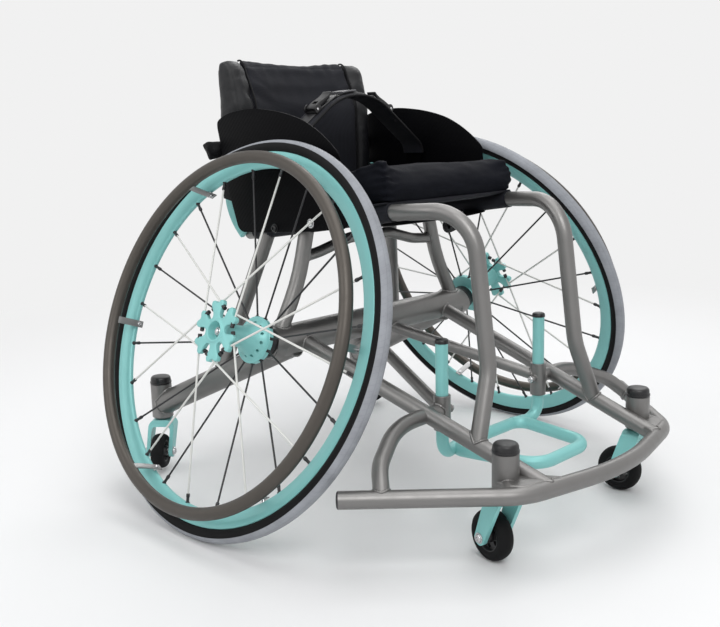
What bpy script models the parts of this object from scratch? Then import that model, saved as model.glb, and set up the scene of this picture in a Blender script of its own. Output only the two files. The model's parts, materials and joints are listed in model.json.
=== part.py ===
"""A rigid sports wheelchair: cambered main wheels, a front bumper, four casters and a height-set footrest.

Metres, +Z up. The occupant faces -Y and their left is +X. Lengths along the chair are written from the
main axle (y = 0 there), and an empty moves the whole chair so that its box is centred on the origin.
"""
import math

import bmesh
import bpy
from mathutils import Matrix, Vector

# Clearances
WELD_GAP = 0.0003
REST_GAP = 0.0005
RUN_GAP = 0.0003
SLIDE_GAP = 0.0003

# Facets of round pieces
BORE_FACETS = 12
HUB_FACETS = 16
CASTER_FACETS = 16

# Main wheels
WHEEL_RADIUS = 0.320
WHEEL_CAMBER = math.radians(20.3)
WHEEL_HALF_TRACK = 0.3145
WHEEL_FACETS = 36
TYRE_SECTION = 0.0125
TYRE_SEAT_RADIUS = 0.2988
RIM_HALF_WIDTH = 0.0098
RIM_DEPTH = 0.0265
RIM_NOSE_HALF_WIDTH = 0.0035
HANDRIM_RADIUS = 0.278
HANDRIM_TUBE = 0.010
HANDRIM_OFFSET = 0.044
HANDRIM_SIDES = 6
HANDRIM_TABS = 6
HANDRIM_TAB_WIDTH = 0.012
HANDRIM_TAB_THICK = 0.004
HANDRIM_TAB_ANGLE = math.radians(3.3)

# Spokes, in two sets of as many each
SPOKES_PER_SET = 12
SPOKE_RADIUS = 0.0014
SPOKE_ANGLE = math.radians(25.6)
SPOKE_LEAN = math.radians(62.9)
SPOKE_RING_SECTION = 0.0012

# Hub, along the axle from the wheel's plane, outwards positive
HUB_FACE = 0.042
HUB_STAR_RADIUS = 0.0486
HUB_STAR_THICK = 0.008
HUB_STAR_NOTCHES = 6
HUB_NOTCH_WIDTH = 0.0135
HUB_NOTCH_DEPTH = 0.0260
HUB_MOUTH_WIDTH = 0.0250
HUB_MOUTH_DEPTH = 0.0065
HUB_SPOKE_RADIUS = 0.0394
HUB_BARREL_RADIUS = 0.0170
HUB_BARREL_INNER = -0.004
HUB_CONE_RADIUS = 0.034
HUB_FLANGE_RADIUS = 0.0385
HUB_FLANGE_OUTER = -0.038
HUB_FLANGE_THICK = 0.009
HUB_NECK_RADIUS = 0.0165
HUB_RECESS_RADIUS = 0.0160
HUB_RECESS_DEPTH = 0.005
HUB_LIP_RADIUS = 0.0095
HUB_LIP_THICK = 0.006
BEARING_RADIUS = 0.0140
BEARING_WIDTH = 0.010
BEARING_SLEEVE_RADIUS = 0.0100

# Axles
AXLE_RADIUS = 0.00635
AXLE_FRAME_FACE = -0.0710
AXLE_INSERT = 0.055
AXLE_TRIM_HALF = 0.045
AXLE_TRIM_REACH = 0.060
BUSH_RADIUS = 0.0225
BUSH_THICK = 0.0180
BUTTON_RADIUS = 0.0048
BUTTON_PROUD = 0.0030
BUTTON_TRAVEL = 0.0025
BUTTON_LENGTH = 0.009

# Frame tubes, by radius
MAIN_TUBE = 0.0127
CAMBER_TUBE = 0.0255
REAR_TUBE = 0.02125
BRACE_TUBE = 0.0120
V_BRACE_TUBE = 0.0100
CROSS_TUBE = 0.0095
TUBE_SIDES = 8

# Camber tube and what rises from it
CAMBER_TUBE_HEIGHT = 0.275
CAMBER_TUBE_HALF = 0.2500
AXLE_BOSS_RADIUS = 0.0252
UPRIGHT_FOOT_X = 0.2205
UPRIGHT_KNEE_X = 0.1760
UPRIGHT_KNEE_HEIGHT = 0.372
UPRIGHT_BEND = 0.300

# Seat tubes, from the rear end to the leg's foot on the lower rail
SEAT_REAR_X = 0.154
SEAT_REAR_Y = 0.150
SEAT_REAR_HEIGHT = 0.4406
SEAT_FRONT_X = 0.150
SEAT_FRONT_Y = -0.190
SEAT_FRONT_HEIGHT = 0.489
SEAT_FRONT_BEND = 0.120
KNEE_X = 0.116
KNEE_Y = -0.317
KNEE_HEIGHT = 0.495
KNEE_BEND = 0.082
SHIN_X = 0.117
SHIN_Y = -0.3468
SHIN_HEIGHT = 0.262
SHIN_BEND = 0.080
LEG_FOOT_Y = -0.359

# Lower rails, straight from the camber tube to the bumper
RAIL_REAR_X = 0.1823
RAIL_FRONT_X = 0.1515

# Bumper, a tube with a wing behind each front corner
BUMPER_HEIGHT = 0.120
BUMPER_FRONT_Y = -0.5035
BUMPER_FLAT_HALF = 0.045
BUMPER_FLAT_BEND = 0.350
BUMPER_CORNER_X = 0.1972
BUMPER_CORNER_Y = -0.4691
BUMPER_CORNER_BEND = 0.100
WING_END_X = 0.3740
WING_END_Y = -0.2860
PLUG_THICK = 0.0030

# Rear tubes and uprights
REAR_TUBE_START_X = 0.1938
REAR_TUBE_START_DROP = 0.0093
REAR_UPRIGHT_TOP_Y = 0.097
REAR_UPRIGHT_FOOT = 0.533

# Braces and footrest sockets
SOCKET_X = 0.1292
SOCKET_Y = -0.2673
SOCKET_BASE = 0.156
SOCKET_HEIGHT = 0.0555
SOCKET_WALL = 0.0030
V_BRACE_START_X = 0.030
V_BRACE_START_Y = -0.006
V_BRACE_START_DROP = 0.013
V_BRACE_END_RISE = 0.032
BRACE_SIDE_X = 0.232
BRACE_SIDE_Y = -0.263
BRACE_SIDE_HEIGHT = 0.184
BRACE_SIDE_BEND = 0.130
BRACE_OUT_X = 0.306
BRACE_OUT_Y = -0.300
BRACE_OUT_HEIGHT = 0.152
BRACE_OUT_BEND = 0.070
BRACE_WING_SHARE = 0.235

# Front cross tube between the uprights
CROSS_HEIGHT = 0.408
CROSS_BEND_X = 0.120
CROSS_BEND_Y = 0.010
CROSS_MIDDLE_X = 0.050
CROSS_MIDDLE_Y = 0.005
CROSS_END_RISE = 0.003
CROSS_BEND = 0.060
CROSS_SLING_CLEARANCE = 0.0350

# Footrest
POST_RADIUS = 0.010
POST_TOP = 0.2925
POST_CAP_THICK = 0.0075
POST_CAP_RADIUS = 0.0110
LOOP_HEIGHT = 0.1135
LOOP_REAR_X = 0.095
LOOP_REAR_Y = -0.253
LOOP_FRONT_X = 0.068
LOOP_FRONT_Y = -0.405
LOOP_REAR_BEND = 0.022
LOOP_FRONT_BEND = 0.040
POST_BEND = 0.030
CLAMP_BOSS_RADIUS = 0.0068
CLAMP_BOSS_REACH = 0.0205
CLAMP_SCREW_RADIUS = 0.0030
CLAMP_HEAD_RADIUS = 0.0055
CLAMP_HEAD_THICK = 0.0040
CLAMP_RISE = 0.030

# Casters
FRONT_STEM_X = 0.1842
FRONT_STEM_Y = -0.4268
FRONT_HOUSING_BASE = 0.115
FRONT_HOUSING_HEIGHT = 0.055
REAR_STEM_X = 0.2605
REAR_STEM_Y = 0.3021
REAR_HOUSING_BASE = 0.096
REAR_HOUSING_HEIGHT = 0.064
HOUSING_RADIUS = 0.0193
STEM_BEARING_RADIUS = 0.0100
STEM_BEARING_WIDTH = 0.008
STEM_RADIUS = 0.0060
CAP_RIM_THICK = 0.006
CAP_DOME_RISE = 0.0085
FRONT_CASTER_RADIUS = 0.038
REAR_CASTER_RADIUS = 0.032
REAR_CASTER_LIFT = 0.006
CASTER_TRAIL = 0.029
CASTER_HALF_WIDTH = 0.0130
CASTER_BOLT_RADIUS = 0.0040
CASTER_BOLT_HEAD_RADIUS = 0.0066
CASTER_BOLT_HEAD_THICK = 0.0032
FORK_INNER_HALF = 0.0172
FORK_LEG_THICK = 0.0068
FORK_CROWN_THICK = 0.0120
FORK_CROWN_FRONT = 0.0130
FORK_CROWN_REAR = 0.0165
FORK_END_RADIUS = 0.0110
FORK_SHOULDER = 0.0130
FORK_END_MARGIN = 0.002
STEM_END_DEPTH = 0.002
CROWN_GAP = 0.0035
GUSSET_RADIUS = 0.0110
GUSSET_HEIGHT = 0.130

# Each caster's swivel at rest, from straight back
FRONT_LEFT_SWIVEL = math.radians(2.5)
FRONT_RIGHT_SWIVEL = math.radians(-14.0)
REAR_LEFT_SWIVEL = math.radians(-130.0)
REAR_RIGHT_SWIVEL = math.radians(130.0)

# Seat
SLING_HALF_WIDTH = 0.1650
SLING_THICK = 0.0040
SLING_REAR_MARGIN = 0.006
CUSHION_HALF_WIDTH = 0.158
CUSHION_LENGTH = 0.335
CUSHION_THICK = 0.046
CUSHION_CROWN = 0.012
CUSHION_PULL = 0.022
CUSHION_FRONT_MARGIN = 0.002

# Backrest, with its heights above the rear ends of the seat tubes
BACK_HALF_WIDTH = 0.1665
BACK_BASE_RISE = 0.0664
BACK_TOP_RISE = 0.3034
BACK_REAR_Y = 0.2044
BACK_THICK = 0.053
BACK_TOP_THICK = 0.0165
BACK_TAPER_RISE = 0.2144
BACK_HOLLOW = 0.008
BACK_PULL = 0.004
BOLSTER_INNER = 0.1244
BOLSTER_OUTER_THICK = 0.0364
BOLSTER_CROWN = 0.004
BOLSTER_TOP_RISE = 0.2974
POST_PLATE_THICK = 0.0090
POST_PLATE_WIDTH = 0.036
POST_PLATE_OUTER = 0.1762
BACK_POST_RADIUS = 0.0070
BACK_POST_INSERT = 0.020
BACK_POST_RISE = 0.0954
PLATE_RISES = ((0.137, 0.0039), (0.158, 0.0274), (0.170, 0.0554), (0.168, 0.0794), (0.1760, 0.1014))

# Side guards, with their heights above the seat tubes' axes
GUARD_PLANE = 0.1800
GUARD_THICK = 0.0025
GUARD_RISES = (
    (0.146, 0.0018), (0.171, 0.0784), (0.195, 0.1988), (0.187, 0.1997), (0.163, 0.2073), (0.138, 0.2077),
    (0.064, 0.1972), (0.021, 0.1860), (-0.022, 0.1679), (-0.054, 0.1484), (-0.078, 0.1299), (-0.096, 0.1144),
    (-0.107, 0.1028), (-0.1115, 0.0922), (-0.108, 0.0807), (-0.122, 0.0207), (-0.128, -0.0172), (-0.012, -0.0117),
)
GUARD_BOLT_SPOTS = (-0.040, 0.050)
GUARD_SPACER_RADIUS = 0.0080

# Lap belt
BELT_ANCHOR_X = 0.1700
BELT_ANCHOR_Y = 0.060
BELT_ANCHOR_RISE = 0.0344
BELT_SHOULDER_HEIGHT = 0.580
BELT_ARCH_HEIGHT = 0.673
BELT_CREST_X = 0.042
BELT_ARCH_Y = 0.045
BELT_WIDTH = 0.046
BELT_THICK = 0.0040
BELT_BEND = 0.035
BELT_CREST_BEND = 0.140
BUCKLE_X = 0.067
BUCKLE_LENGTH = 0.058
BUCKLE_WIDTH = 0.028
BUCKLE_THICK = 0.0060
LEVER_LENGTH = 0.046
LEVER_WIDTH = 0.022
LEVER_THICK = 0.0045
LEVER_PIN_RADIUS = 0.0032

# The box runs from the bumper's front to the rear caster caps, and the origin is at its middle
FRONT_END = BUMPER_FRONT_Y - MAIN_TUBE
REAR_CROWN_SIDE = (FORK_INNER_HALF + FORK_LEG_THICK) * math.sin(abs(REAR_LEFT_SWIVEL))
REAR_CROWN_FRONT = FORK_CROWN_FRONT * abs(math.cos(REAR_LEFT_SWIVEL))
REAR_END = max(REAR_STEM_Y + REAR_CROWN_SIDE + REAR_CROWN_FRONT, WHEEL_RADIUS)
AXLE_Y = -(FRONT_END + REAR_END) / 2

WHEEL_HEIGHT = (WHEEL_RADIUS - TYRE_SECTION) * math.cos(WHEEL_CAMBER) + TYRE_SECTION
RIM_SEAT_RADIUS = TYRE_SEAT_RADIUS - WELD_GAP
RIM_NOSE_RADIUS = RIM_SEAT_RADIUS - RIM_DEPTH
RIM_CLEAR_RADIUS = RIM_NOSE_RADIUS * math.cos(math.pi / WHEEL_FACETS) - REST_GAP
SEAT_TILT = math.atan2(SEAT_FRONT_HEIGHT - SEAT_REAR_HEIGHT, SEAT_REAR_Y - SEAT_FRONT_Y)

# What stands on the seat tubes' rear ends, and the cross tube, which hangs a clearance below the sling
BACK_BASE = SEAT_REAR_HEIGHT + BACK_BASE_RISE
BACK_TOP = SEAT_REAR_HEIGHT + BACK_TOP_RISE
BACK_TAPER_HEIGHT = SEAT_REAR_HEIGHT + BACK_TAPER_RISE
BOLSTER_TOP = SEAT_REAR_HEIGHT + BOLSTER_TOP_RISE
BACK_POST_HEIGHT = SEAT_REAR_HEIGHT + BACK_POST_RISE
PLATE_PATH = [(y, SEAT_REAR_HEIGHT + rise) for y, rise in PLATE_RISES]
GUARD_OUTLINE = [
    (y, SEAT_REAR_HEIGHT + (SEAT_REAR_Y - y) * math.tan(SEAT_TILT) + rise) for y, rise in GUARD_RISES
]
SEAT_HEIGHT_AT_CROSS = SEAT_REAR_HEIGHT + (SEAT_REAR_Y - CROSS_MIDDLE_Y) * math.tan(SEAT_TILT)
CROSS_MIDDLE_HEIGHT = SEAT_HEIGHT_AT_CROSS + MAIN_TUBE - CROSS_SLING_CLEARANCE - CROSS_TUBE
BELT_ANCHOR_HEIGHT = SEAT_REAR_HEIGHT + BELT_ANCHOR_RISE


def clear_scene():
    for obj in list(bpy.data.objects):
        bpy.data.objects.remove(obj, do_unlink=True)


def new_collection(name):
    collection = bpy.data.collections.new(name)
    bpy.context.scene.collection.children.link(collection)
    return collection


def new_material(name, colour, roughness, metallic):
    look = bpy.data.materials.new(name)
    look.use_nodes = True
    shader = look.node_tree.nodes["Principled BSDF"]
    shader.inputs["Base Color"].default_value = (*colour, 1.0)
    shader.inputs["Roughness"].default_value = roughness
    shader.inputs["Metallic"].default_value = metallic
    look.diffuse_color = (*colour, 1.0)
    return look


def new_empty(name, parent, matrix):
    empty = bpy.data.objects.new(name, None)
    empty.empty_display_size = 0.03
    PARTS.objects.link(empty)
    empty.parent = parent
    empty.matrix_basis = matrix
    return empty


def object_from(graph, name="piece"):
    """A new object from a bmesh, at the bmesh's own coordinates."""
    mesh = bpy.data.meshes.new(name)
    graph.to_mesh(mesh)
    graph.free()
    obj = bpy.data.objects.new(name, mesh)
    PARTS.objects.link(obj)
    return obj


def settled(obj, weld=0.0):
    """The object with its modifiers or curve turned into a plain closed mesh."""
    bpy.context.view_layer.update()
    evaluated = obj.evaluated_get(bpy.context.evaluated_depsgraph_get())
    mesh = bpy.data.meshes.new_from_object(evaluated)
    graph = bmesh.new()
    graph.from_mesh(mesh)
    if weld:
        bmesh.ops.remove_doubles(graph, verts=graph.verts, dist=weld)
    bmesh.ops.recalc_face_normals(graph, faces=graph.faces)
    graph.to_mesh(mesh)
    graph.free()
    plain = bpy.data.objects.new(obj.name, mesh)
    PARTS.objects.link(plain)
    bpy.data.objects.remove(obj, do_unlink=True)
    return plain


def moved(obj, matrix):
    obj.data.transform(matrix)
    return obj


def combine(base, helpers, operation):
    """Boolean of pieces that all hold their own coordinates. The helpers are used up."""
    for helper in helpers:
        step = base.modifiers.new("shape", "BOOLEAN")
        step.operation = operation
        step.object = helper
        step.solver = "EXACT"
    bpy.context.view_layer.update()
    evaluated = base.evaluated_get(bpy.context.evaluated_depsgraph_get())
    mesh = bpy.data.meshes.new_from_object(evaluated)
    base.modifiers.clear()
    base.data = mesh
    for helper in helpers:
        bpy.data.objects.remove(helper, do_unlink=True)
    return base


def join(base, *helpers):
    return combine(base, helpers, "UNION")


def cut(base, *helpers):
    return combine(base, helpers, "DIFFERENCE")


def tube(points, radius, sides=TUBE_SIDES, cyclic=False):
    """A round tube along points, closed at its ends, with an even number of sides."""
    curve = bpy.data.curves.new("tube", "CURVE")
    curve.dimensions = "3D"
    curve.bevel_depth = radius
    curve.bevel_resolution = (int(sides) - 4) // 2
    curve.use_fill_caps = not cyclic
    spline = curve.splines.new("POLY")
    spline.points.add(len(points) - 1)
    for spot, point in zip(spline.points, points):
        spot.co = (*point, 1.0)
    spline.use_cyclic_u = cyclic
    obj = bpy.data.objects.new("tube", curve)
    PARTS.objects.link(obj)
    return settled(obj, weld=1e-5)


def bent(corners, step=math.radians(17.0)):
    """Points along straight runs joined by arcs. A corner is a point and its bend's radius."""
    spots = [Vector(point) for point, _ in corners]
    path = []
    for index, (point, radius) in enumerate(corners):
        here = Vector(point)
        if radius == 0.0:
            path.append(here)
            continue
        before = spots[index - 1]
        after = spots[(index + 1) % len(spots)]
        into = (here - before).normalized()
        out = (after - here).normalized()
        turn = into.angle(out)
        reach = min((here - before).length, (after - here).length)
        run = min(radius * math.tan(turn / 2), reach * 0.49)
        real_radius = run / math.tan(turn / 2)
        centre = here + (out - into).normalized() * real_radius / math.cos(turn / 2)
        count = max(1, math.ceil(turn / step))
        spoke = here - into * run - centre
        axis = into.cross(out).normalized()
        for k in range(count + 1):
            path.append(centre + Matrix.Rotation(turn * k / count, 3, axis) @ spoke)
    return path


def turned(profile, facets, ring=False):
    """A profile of (radius, height) turned about Z. It runs from axis to axis, or is a closed ring."""
    count = len(profile)
    mesh = bpy.data.meshes.new("turned")
    edges = [(k, k + 1) for k in range(count - 1)]
    if ring:
        edges.append((count - 1, 0))
    mesh.from_pydata([(radius, 0.0, height) for radius, height in profile], edges, [])
    obj = bpy.data.objects.new("turned", mesh)
    PARTS.objects.link(obj)
    screw = obj.modifiers.new("turn", "SCREW")
    screw.axis = "Z"
    screw.steps = facets
    screw.render_steps = facets
    screw.use_merge_vertices = True
    screw.merge_threshold = 1e-5
    return settled(obj, weld=1e-6)


def aim(start, end):
    """The frame at start whose Z points to end."""
    turn = (end - start).to_track_quat("Z", "Y").to_matrix().to_4x4()
    return Matrix.Translation(start) @ turn


def rod(start, end, radius, facets=12):
    start, end = Vector(start), Vector(end)
    length = (end - start).length
    graph = bmesh.new()
    bmesh.ops.create_cone(
        graph, cap_ends=True, segments=facets, radius1=radius, radius2=radius, depth=length,
        matrix=aim(start, end) @ Matrix.Translation((0, 0, length / 2)),
    )
    return object_from(graph)


def box(low, high):
    low, high = Vector(low), Vector(high)
    graph = bmesh.new()
    size = Matrix.Diagonal((*(high - low), 1.0))
    bmesh.ops.create_cube(graph, size=1.0, matrix=Matrix.Translation((low + high) / 2) @ size)
    return object_from(graph)


def plate(outline, thick, matrix):
    """A flat outline in X and Y, extruded to both sides of its plane, then placed."""
    curve = bpy.data.curves.new("plate", "CURVE")
    curve.dimensions = "2D"
    curve.fill_mode = "BOTH"
    curve.extrude = thick / 2
    spline = curve.splines.new("POLY")
    spline.points.add(len(outline) - 1)
    for spot, (across, up) in zip(spline.points, outline):
        spot.co = (across, up, 0.0, 1.0)
    spline.use_cyclic_u = True
    obj = bpy.data.objects.new("plate", curve)
    PARTS.objects.link(obj)
    return moved(settled(obj, weld=1e-5), matrix)


def around(radius, facets=BORE_FACETS):
    """The corner radius of a faceted bore whose flats are at this radius."""
    return radius / math.cos(math.pi / facets)


def arc(centre, radius, start, end, count):
    """Points of a flat arc, in degrees."""
    return [
        (
            centre[0] + radius * math.cos(math.radians(start + (end - start) * k / count)),
            centre[1] + radius * math.sin(math.radians(start + (end - start) * k / count)),
        )
        for k in range(count + 1)
    ]


def finish(obj, name, look, parent, smooth=math.radians(35.0)):
    obj.name = name
    obj.data.name = name
    obj.data.materials.clear()
    obj.data.materials.append(look)
    obj.data.shade_smooth()
    obj.data.set_sharp_from_angle(angle=smooth)
    obj.parent = parent
    return obj


def mirrored(point, side):
    return Vector((point[0] * side, point[1], point[2]))


def both_ways(side, path):
    return [mirrored(point, side) for point in path]


def name_of(side):
    return "left" if side > 0 else "right"


def wheel_frame(side):
    """A frame at the wheel's centre: Z out along the axle, and X, Y in the wheel's plane."""
    out = Vector((side * math.cos(WHEEL_CAMBER), 0, math.sin(WHEEL_CAMBER)))
    up = Vector((-side * math.sin(WHEEL_CAMBER), 0, math.cos(WHEEL_CAMBER)))
    ahead = Vector((0, -1, 0))
    across, along = (up, ahead) if side > 0 else (ahead, up)
    turn = Matrix((across, along, out)).transposed().to_4x4()
    return Matrix.Translation((side * WHEEL_HALF_TRACK, 0, WHEEL_HEIGHT)) @ turn


def in_wheel(side, angle):
    """The local angle of a direction given from straight ahead, upwards."""
    return math.pi / 2 - angle if side > 0 else angle


def polar(radius, angle, height):
    return Vector((radius * math.cos(angle), radius * math.sin(angle), height))


def make_tyre():
    middle = WHEEL_RADIUS - TYRE_SECTION
    foot = math.asin((middle - TYRE_SEAT_RADIUS) / TYRE_SECTION)
    count = 6
    sweep = [math.pi / 2 + foot - (math.pi + 2 * foot) * k / count for k in range(count + 1)]
    profile = [(middle + TYRE_SECTION * math.cos(a), TYRE_SECTION * math.sin(a)) for a in sweep]
    return turned(profile, WHEEL_FACETS, ring=True)


def make_rim():
    shoulder = RIM_SEAT_RADIUS - RIM_DEPTH * 0.35
    half = [
        (RIM_SEAT_RADIUS, RIM_HALF_WIDTH),
        (shoulder, RIM_HALF_WIDTH),
        (RIM_NOSE_RADIUS, RIM_NOSE_HALF_WIDTH),
    ]
    profile = half + [(radius, -height) for radius, height in reversed(half)]
    return turned(profile, WHEEL_FACETS, ring=True)


def make_handrim(side):
    """The push ring with the tabs that reach inwards to the rim's nose."""
    section = [
        (
            HANDRIM_RADIUS + HANDRIM_TUBE * math.cos(math.tau * k / HANDRIM_SIDES),
            HANDRIM_OFFSET + HANDRIM_TUBE * math.sin(math.tau * k / HANDRIM_SIDES),
        )
        for k in range(HANDRIM_SIDES)
    ]
    ring = turned(section, WHEEL_FACETS, ring=True)
    under = HANDRIM_RADIUS - HANDRIM_TUBE
    half = HANDRIM_TAB_WIDTH / 2
    tabs = []
    for k in range(HANDRIM_TABS):
        spin = Matrix.Rotation(in_wheel(side, HANDRIM_TAB_ANGLE + math.tau * k / HANDRIM_TABS), 4, "Z")
        low = (under - HANDRIM_TAB_THICK / 2, -half, -RIM_NOSE_HALF_WIDTH)
        arm = box(low, (under + HANDRIM_TAB_THICK / 2, half, HANDRIM_OFFSET + HANDRIM_TUBE / 4))
        foot = box(
            (under, -half + 0.001, -RIM_NOSE_HALF_WIDTH + 0.0005),
            (RIM_CLEAR_RADIUS, half - 0.001, RIM_NOSE_HALF_WIDTH),
        )
        tabs.append(moved(join(arm, foot), spin))
    return join(ring, *tabs)


def make_hub(side):
    """A star flange outside, a barrel that flares to a round flange inside, and a neck to the bush."""
    star_back = HUB_FACE - HUB_STAR_THICK
    flange_inner = HUB_FLANGE_OUTER - HUB_FLANGE_THICK
    neck_end = AXLE_FRAME_FACE + BUSH_THICK + 2 * RUN_GAP
    recess = HUB_FACE - HUB_RECESS_DEPTH
    lip = recess - HUB_LIP_THICK
    bore = around(BEARING_RADIUS + WELD_GAP, HUB_FACETS)
    flare = HUB_CONE_RADIUS - HUB_BARREL_RADIUS
    drop = HUB_FLANGE_OUTER - HUB_BARREL_INNER
    profile = [
        (HUB_STAR_RADIUS - 0.001, HUB_FACE), (HUB_STAR_RADIUS, HUB_FACE - 0.001),
        (HUB_STAR_RADIUS, star_back), (HUB_BARREL_RADIUS + 0.003, star_back),
        (HUB_BARREL_RADIUS, star_back - 0.004), (HUB_BARREL_RADIUS, HUB_BARREL_INNER),
        (HUB_BARREL_RADIUS + flare * 0.26, HUB_BARREL_INNER + drop * 0.50),
        (HUB_BARREL_RADIUS + flare * 0.62, HUB_BARREL_INNER + drop * 0.80),
        (HUB_CONE_RADIUS, HUB_FLANGE_OUTER), (HUB_FLANGE_RADIUS, HUB_FLANGE_OUTER),
        (HUB_FLANGE_RADIUS, flange_inner), (HUB_NECK_RADIUS, flange_inner),
        (HUB_NECK_RADIUS, neck_end), (bore, neck_end), (bore, lip),
        (HUB_LIP_RADIUS, lip), (HUB_LIP_RADIUS, recess), (HUB_RECESS_RADIUS, recess),
        (HUB_RECESS_RADIUS, HUB_FACE),
    ]
    hub = turned(profile, HUB_FACETS, ring=True)
    notches = []
    floor = HUB_STAR_RADIUS - HUB_NOTCH_DEPTH + HUB_NOTCH_WIDTH / 2
    neck = HUB_STAR_RADIUS - HUB_MOUTH_DEPTH
    mouth = [(neck, HUB_NOTCH_WIDTH / 2), (HUB_STAR_RADIUS, HUB_MOUTH_WIDTH / 2)]
    mouth += [(HUB_STAR_RADIUS * 1.2, HUB_MOUTH_WIDTH / 2)]
    for k in range(HUB_STAR_NOTCHES):
        angle = in_wheel(side, SPOKE_ANGLE - math.pi / SPOKES_PER_SET + math.tau * k / HUB_STAR_NOTCHES)
        outline = arc((floor, 0), HUB_NOTCH_WIDTH / 2, 90, 270, 4)
        outline += [(reach, -half) for reach, half in mouth] + mouth[::-1]
        place = Matrix.Rotation(angle, 4, "Z") @ Matrix.Translation((0, 0, HUB_FACE - HUB_STAR_THICK / 2))
        notches.append(plate(outline, HUB_STAR_THICK + 0.002, place))
    return cut(hub, *notches)


def make_spokes(side, ring_radius, ring_height, angle, lean=0.0):
    """One set of spokes, held by the ring on the hub's flange. The lean turns their inner ends by turns to each way."""
    section = SPOKE_RING_SECTION
    ring = turned(
        [
            (ring_radius + section, ring_height + section), (ring_radius + section, ring_height - section),
            (ring_radius - section, ring_height - section), (ring_radius - section, ring_height + section),
        ],
        HUB_FACETS, ring=True,
    )
    spokes = []
    for k in range(SPOKES_PER_SET):
        spot = in_wheel(side, angle + math.tau * k / SPOKES_PER_SET)
        way = 1 if k % 2 == 0 else -1
        hub_end = in_wheel(side, angle - way * lean + math.tau * k / SPOKES_PER_SET)
        start = polar(ring_radius, hub_end, ring_height + way * (section / 3 if lean else 0.0))
        end = polar(RIM_CLEAR_RADIUS, spot, 0.0)
        spokes.append(rod(start, end, SPOKE_RADIUS, 4))
    return join(ring, *spokes)


def make_bearings():
    """Both hub bearings on their spacing sleeve."""
    outer = HUB_FACE - HUB_RECESS_DEPTH - HUB_LIP_THICK - REST_GAP
    inner = AXLE_FRAME_FACE + BUSH_THICK + 3 * RUN_GAP
    bore = around(AXLE_RADIUS + RUN_GAP)
    profile = [
        (BEARING_RADIUS, outer), (BEARING_RADIUS, outer - BEARING_WIDTH),
        (BEARING_SLEEVE_RADIUS, outer - BEARING_WIDTH), (BEARING_SLEEVE_RADIUS, inner + BEARING_WIDTH),
        (BEARING_RADIUS, inner + BEARING_WIDTH), (BEARING_RADIUS, inner), (bore, inner), (bore, outer),
    ]
    return turned(profile, BORE_FACETS, ring=True)


def make_axle():
    """The quick-release pin, bored at its outer end for the button."""
    inner = AXLE_FRAME_FACE - AXLE_INSERT
    outer = HUB_FACE - HUB_RECESS_DEPTH / 2
    bore = around(BUTTON_RADIUS + RUN_GAP)
    floor = outer + BUTTON_PROUD - BUTTON_LENGTH - BUTTON_TRAVEL - RUN_GAP
    profile = [
        (0.0, floor), (bore, floor), (bore, outer), (AXLE_RADIUS, outer), (AXLE_RADIUS, inner), (0.0, inner),
    ]
    return turned(profile, BORE_FACETS)


def make_button():
    top = HUB_FACE - HUB_RECESS_DEPTH / 2 + BUTTON_PROUD
    base = top - BUTTON_LENGTH
    rounding = 0.001
    profile = [
        (0.0, top), (BUTTON_RADIUS - rounding, top), (BUTTON_RADIUS, top - rounding),
        (BUTTON_RADIUS, base), (0.0, base),
    ]
    return turned(profile, 12)


def make_bush():
    top = AXLE_FRAME_FACE + BUSH_THICK
    base = AXLE_FRAME_FACE + WELD_GAP
    bore = around(AXLE_RADIUS + WELD_GAP)
    profile = [(BUSH_RADIUS, top), (BUSH_RADIUS, base), (bore, base), (bore, top)]
    return turned(profile, BORE_FACETS, ring=True)


def make_main_wheel(side):
    place = name_of(side)
    axle = new_empty("wheel_" + place, CHAIR, wheel_frame(side))
    star_back = HUB_FACE - HUB_STAR_THICK
    white_height = star_back - SPOKE_RADIUS - SPOKE_RING_SECTION / 3 - REST_GAP
    black_radius = HUB_FLANGE_RADIUS + SPOKE_RING_SECTION + REST_GAP
    black_height = HUB_FLANGE_OUTER - HUB_FLANGE_THICK / 2
    black_angle = SPOKE_ANGLE + math.pi / SPOKES_PER_SET
    finish(make_tyre(), "main_tyre_" + place, RUBBER, axle)
    finish(make_rim(), "main_rim_" + place, MINT, axle)
    finish(make_handrim(side), "handrim_" + place, HANDRIM, axle)
    finish(make_hub(side), "hub_" + place, MINT, axle)
    white = make_spokes(side, HUB_SPOKE_RADIUS, white_height, SPOKE_ANGLE, SPOKE_LEAN)
    finish(white, "white_spokes_" + place, WHITE, axle)
    black = make_spokes(side, black_radius, black_height, black_angle)
    finish(black, "black_spokes_" + place, BLACK, axle)
    finish(make_bearings(), "hub_bearings_" + place, STEEL, axle)
    finish(make_axle(), "axle_pin_" + place, STEEL, axle)
    finish(make_bush(), "axle_bush_" + place, BLACK, axle)
    finish(make_button(), "release_button_" + place, STEEL, axle)


def seat_tube_at(y):
    """The seat tube's axis where it runs straight, at a place along the chair."""
    share = (SEAT_REAR_Y - y) / (SEAT_REAR_Y - SEAT_FRONT_Y)
    rear = Vector((SEAT_REAR_X, SEAT_REAR_Y, SEAT_REAR_HEIGHT))
    return rear.lerp(Vector((SEAT_FRONT_X, SEAT_FRONT_Y, SEAT_FRONT_HEIGHT)), share)


def bumper_corner_path():
    """One half of the bumper, from the wing's end to the middle of the front bar."""
    return [
        ((WING_END_X, WING_END_Y, BUMPER_HEIGHT), 0.0),
        ((BUMPER_CORNER_X, BUMPER_CORNER_Y, BUMPER_HEIGHT), BUMPER_CORNER_BEND),
        ((BUMPER_FLAT_HALF, BUMPER_FRONT_Y, BUMPER_HEIGHT), BUMPER_FLAT_BEND),
    ]


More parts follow.
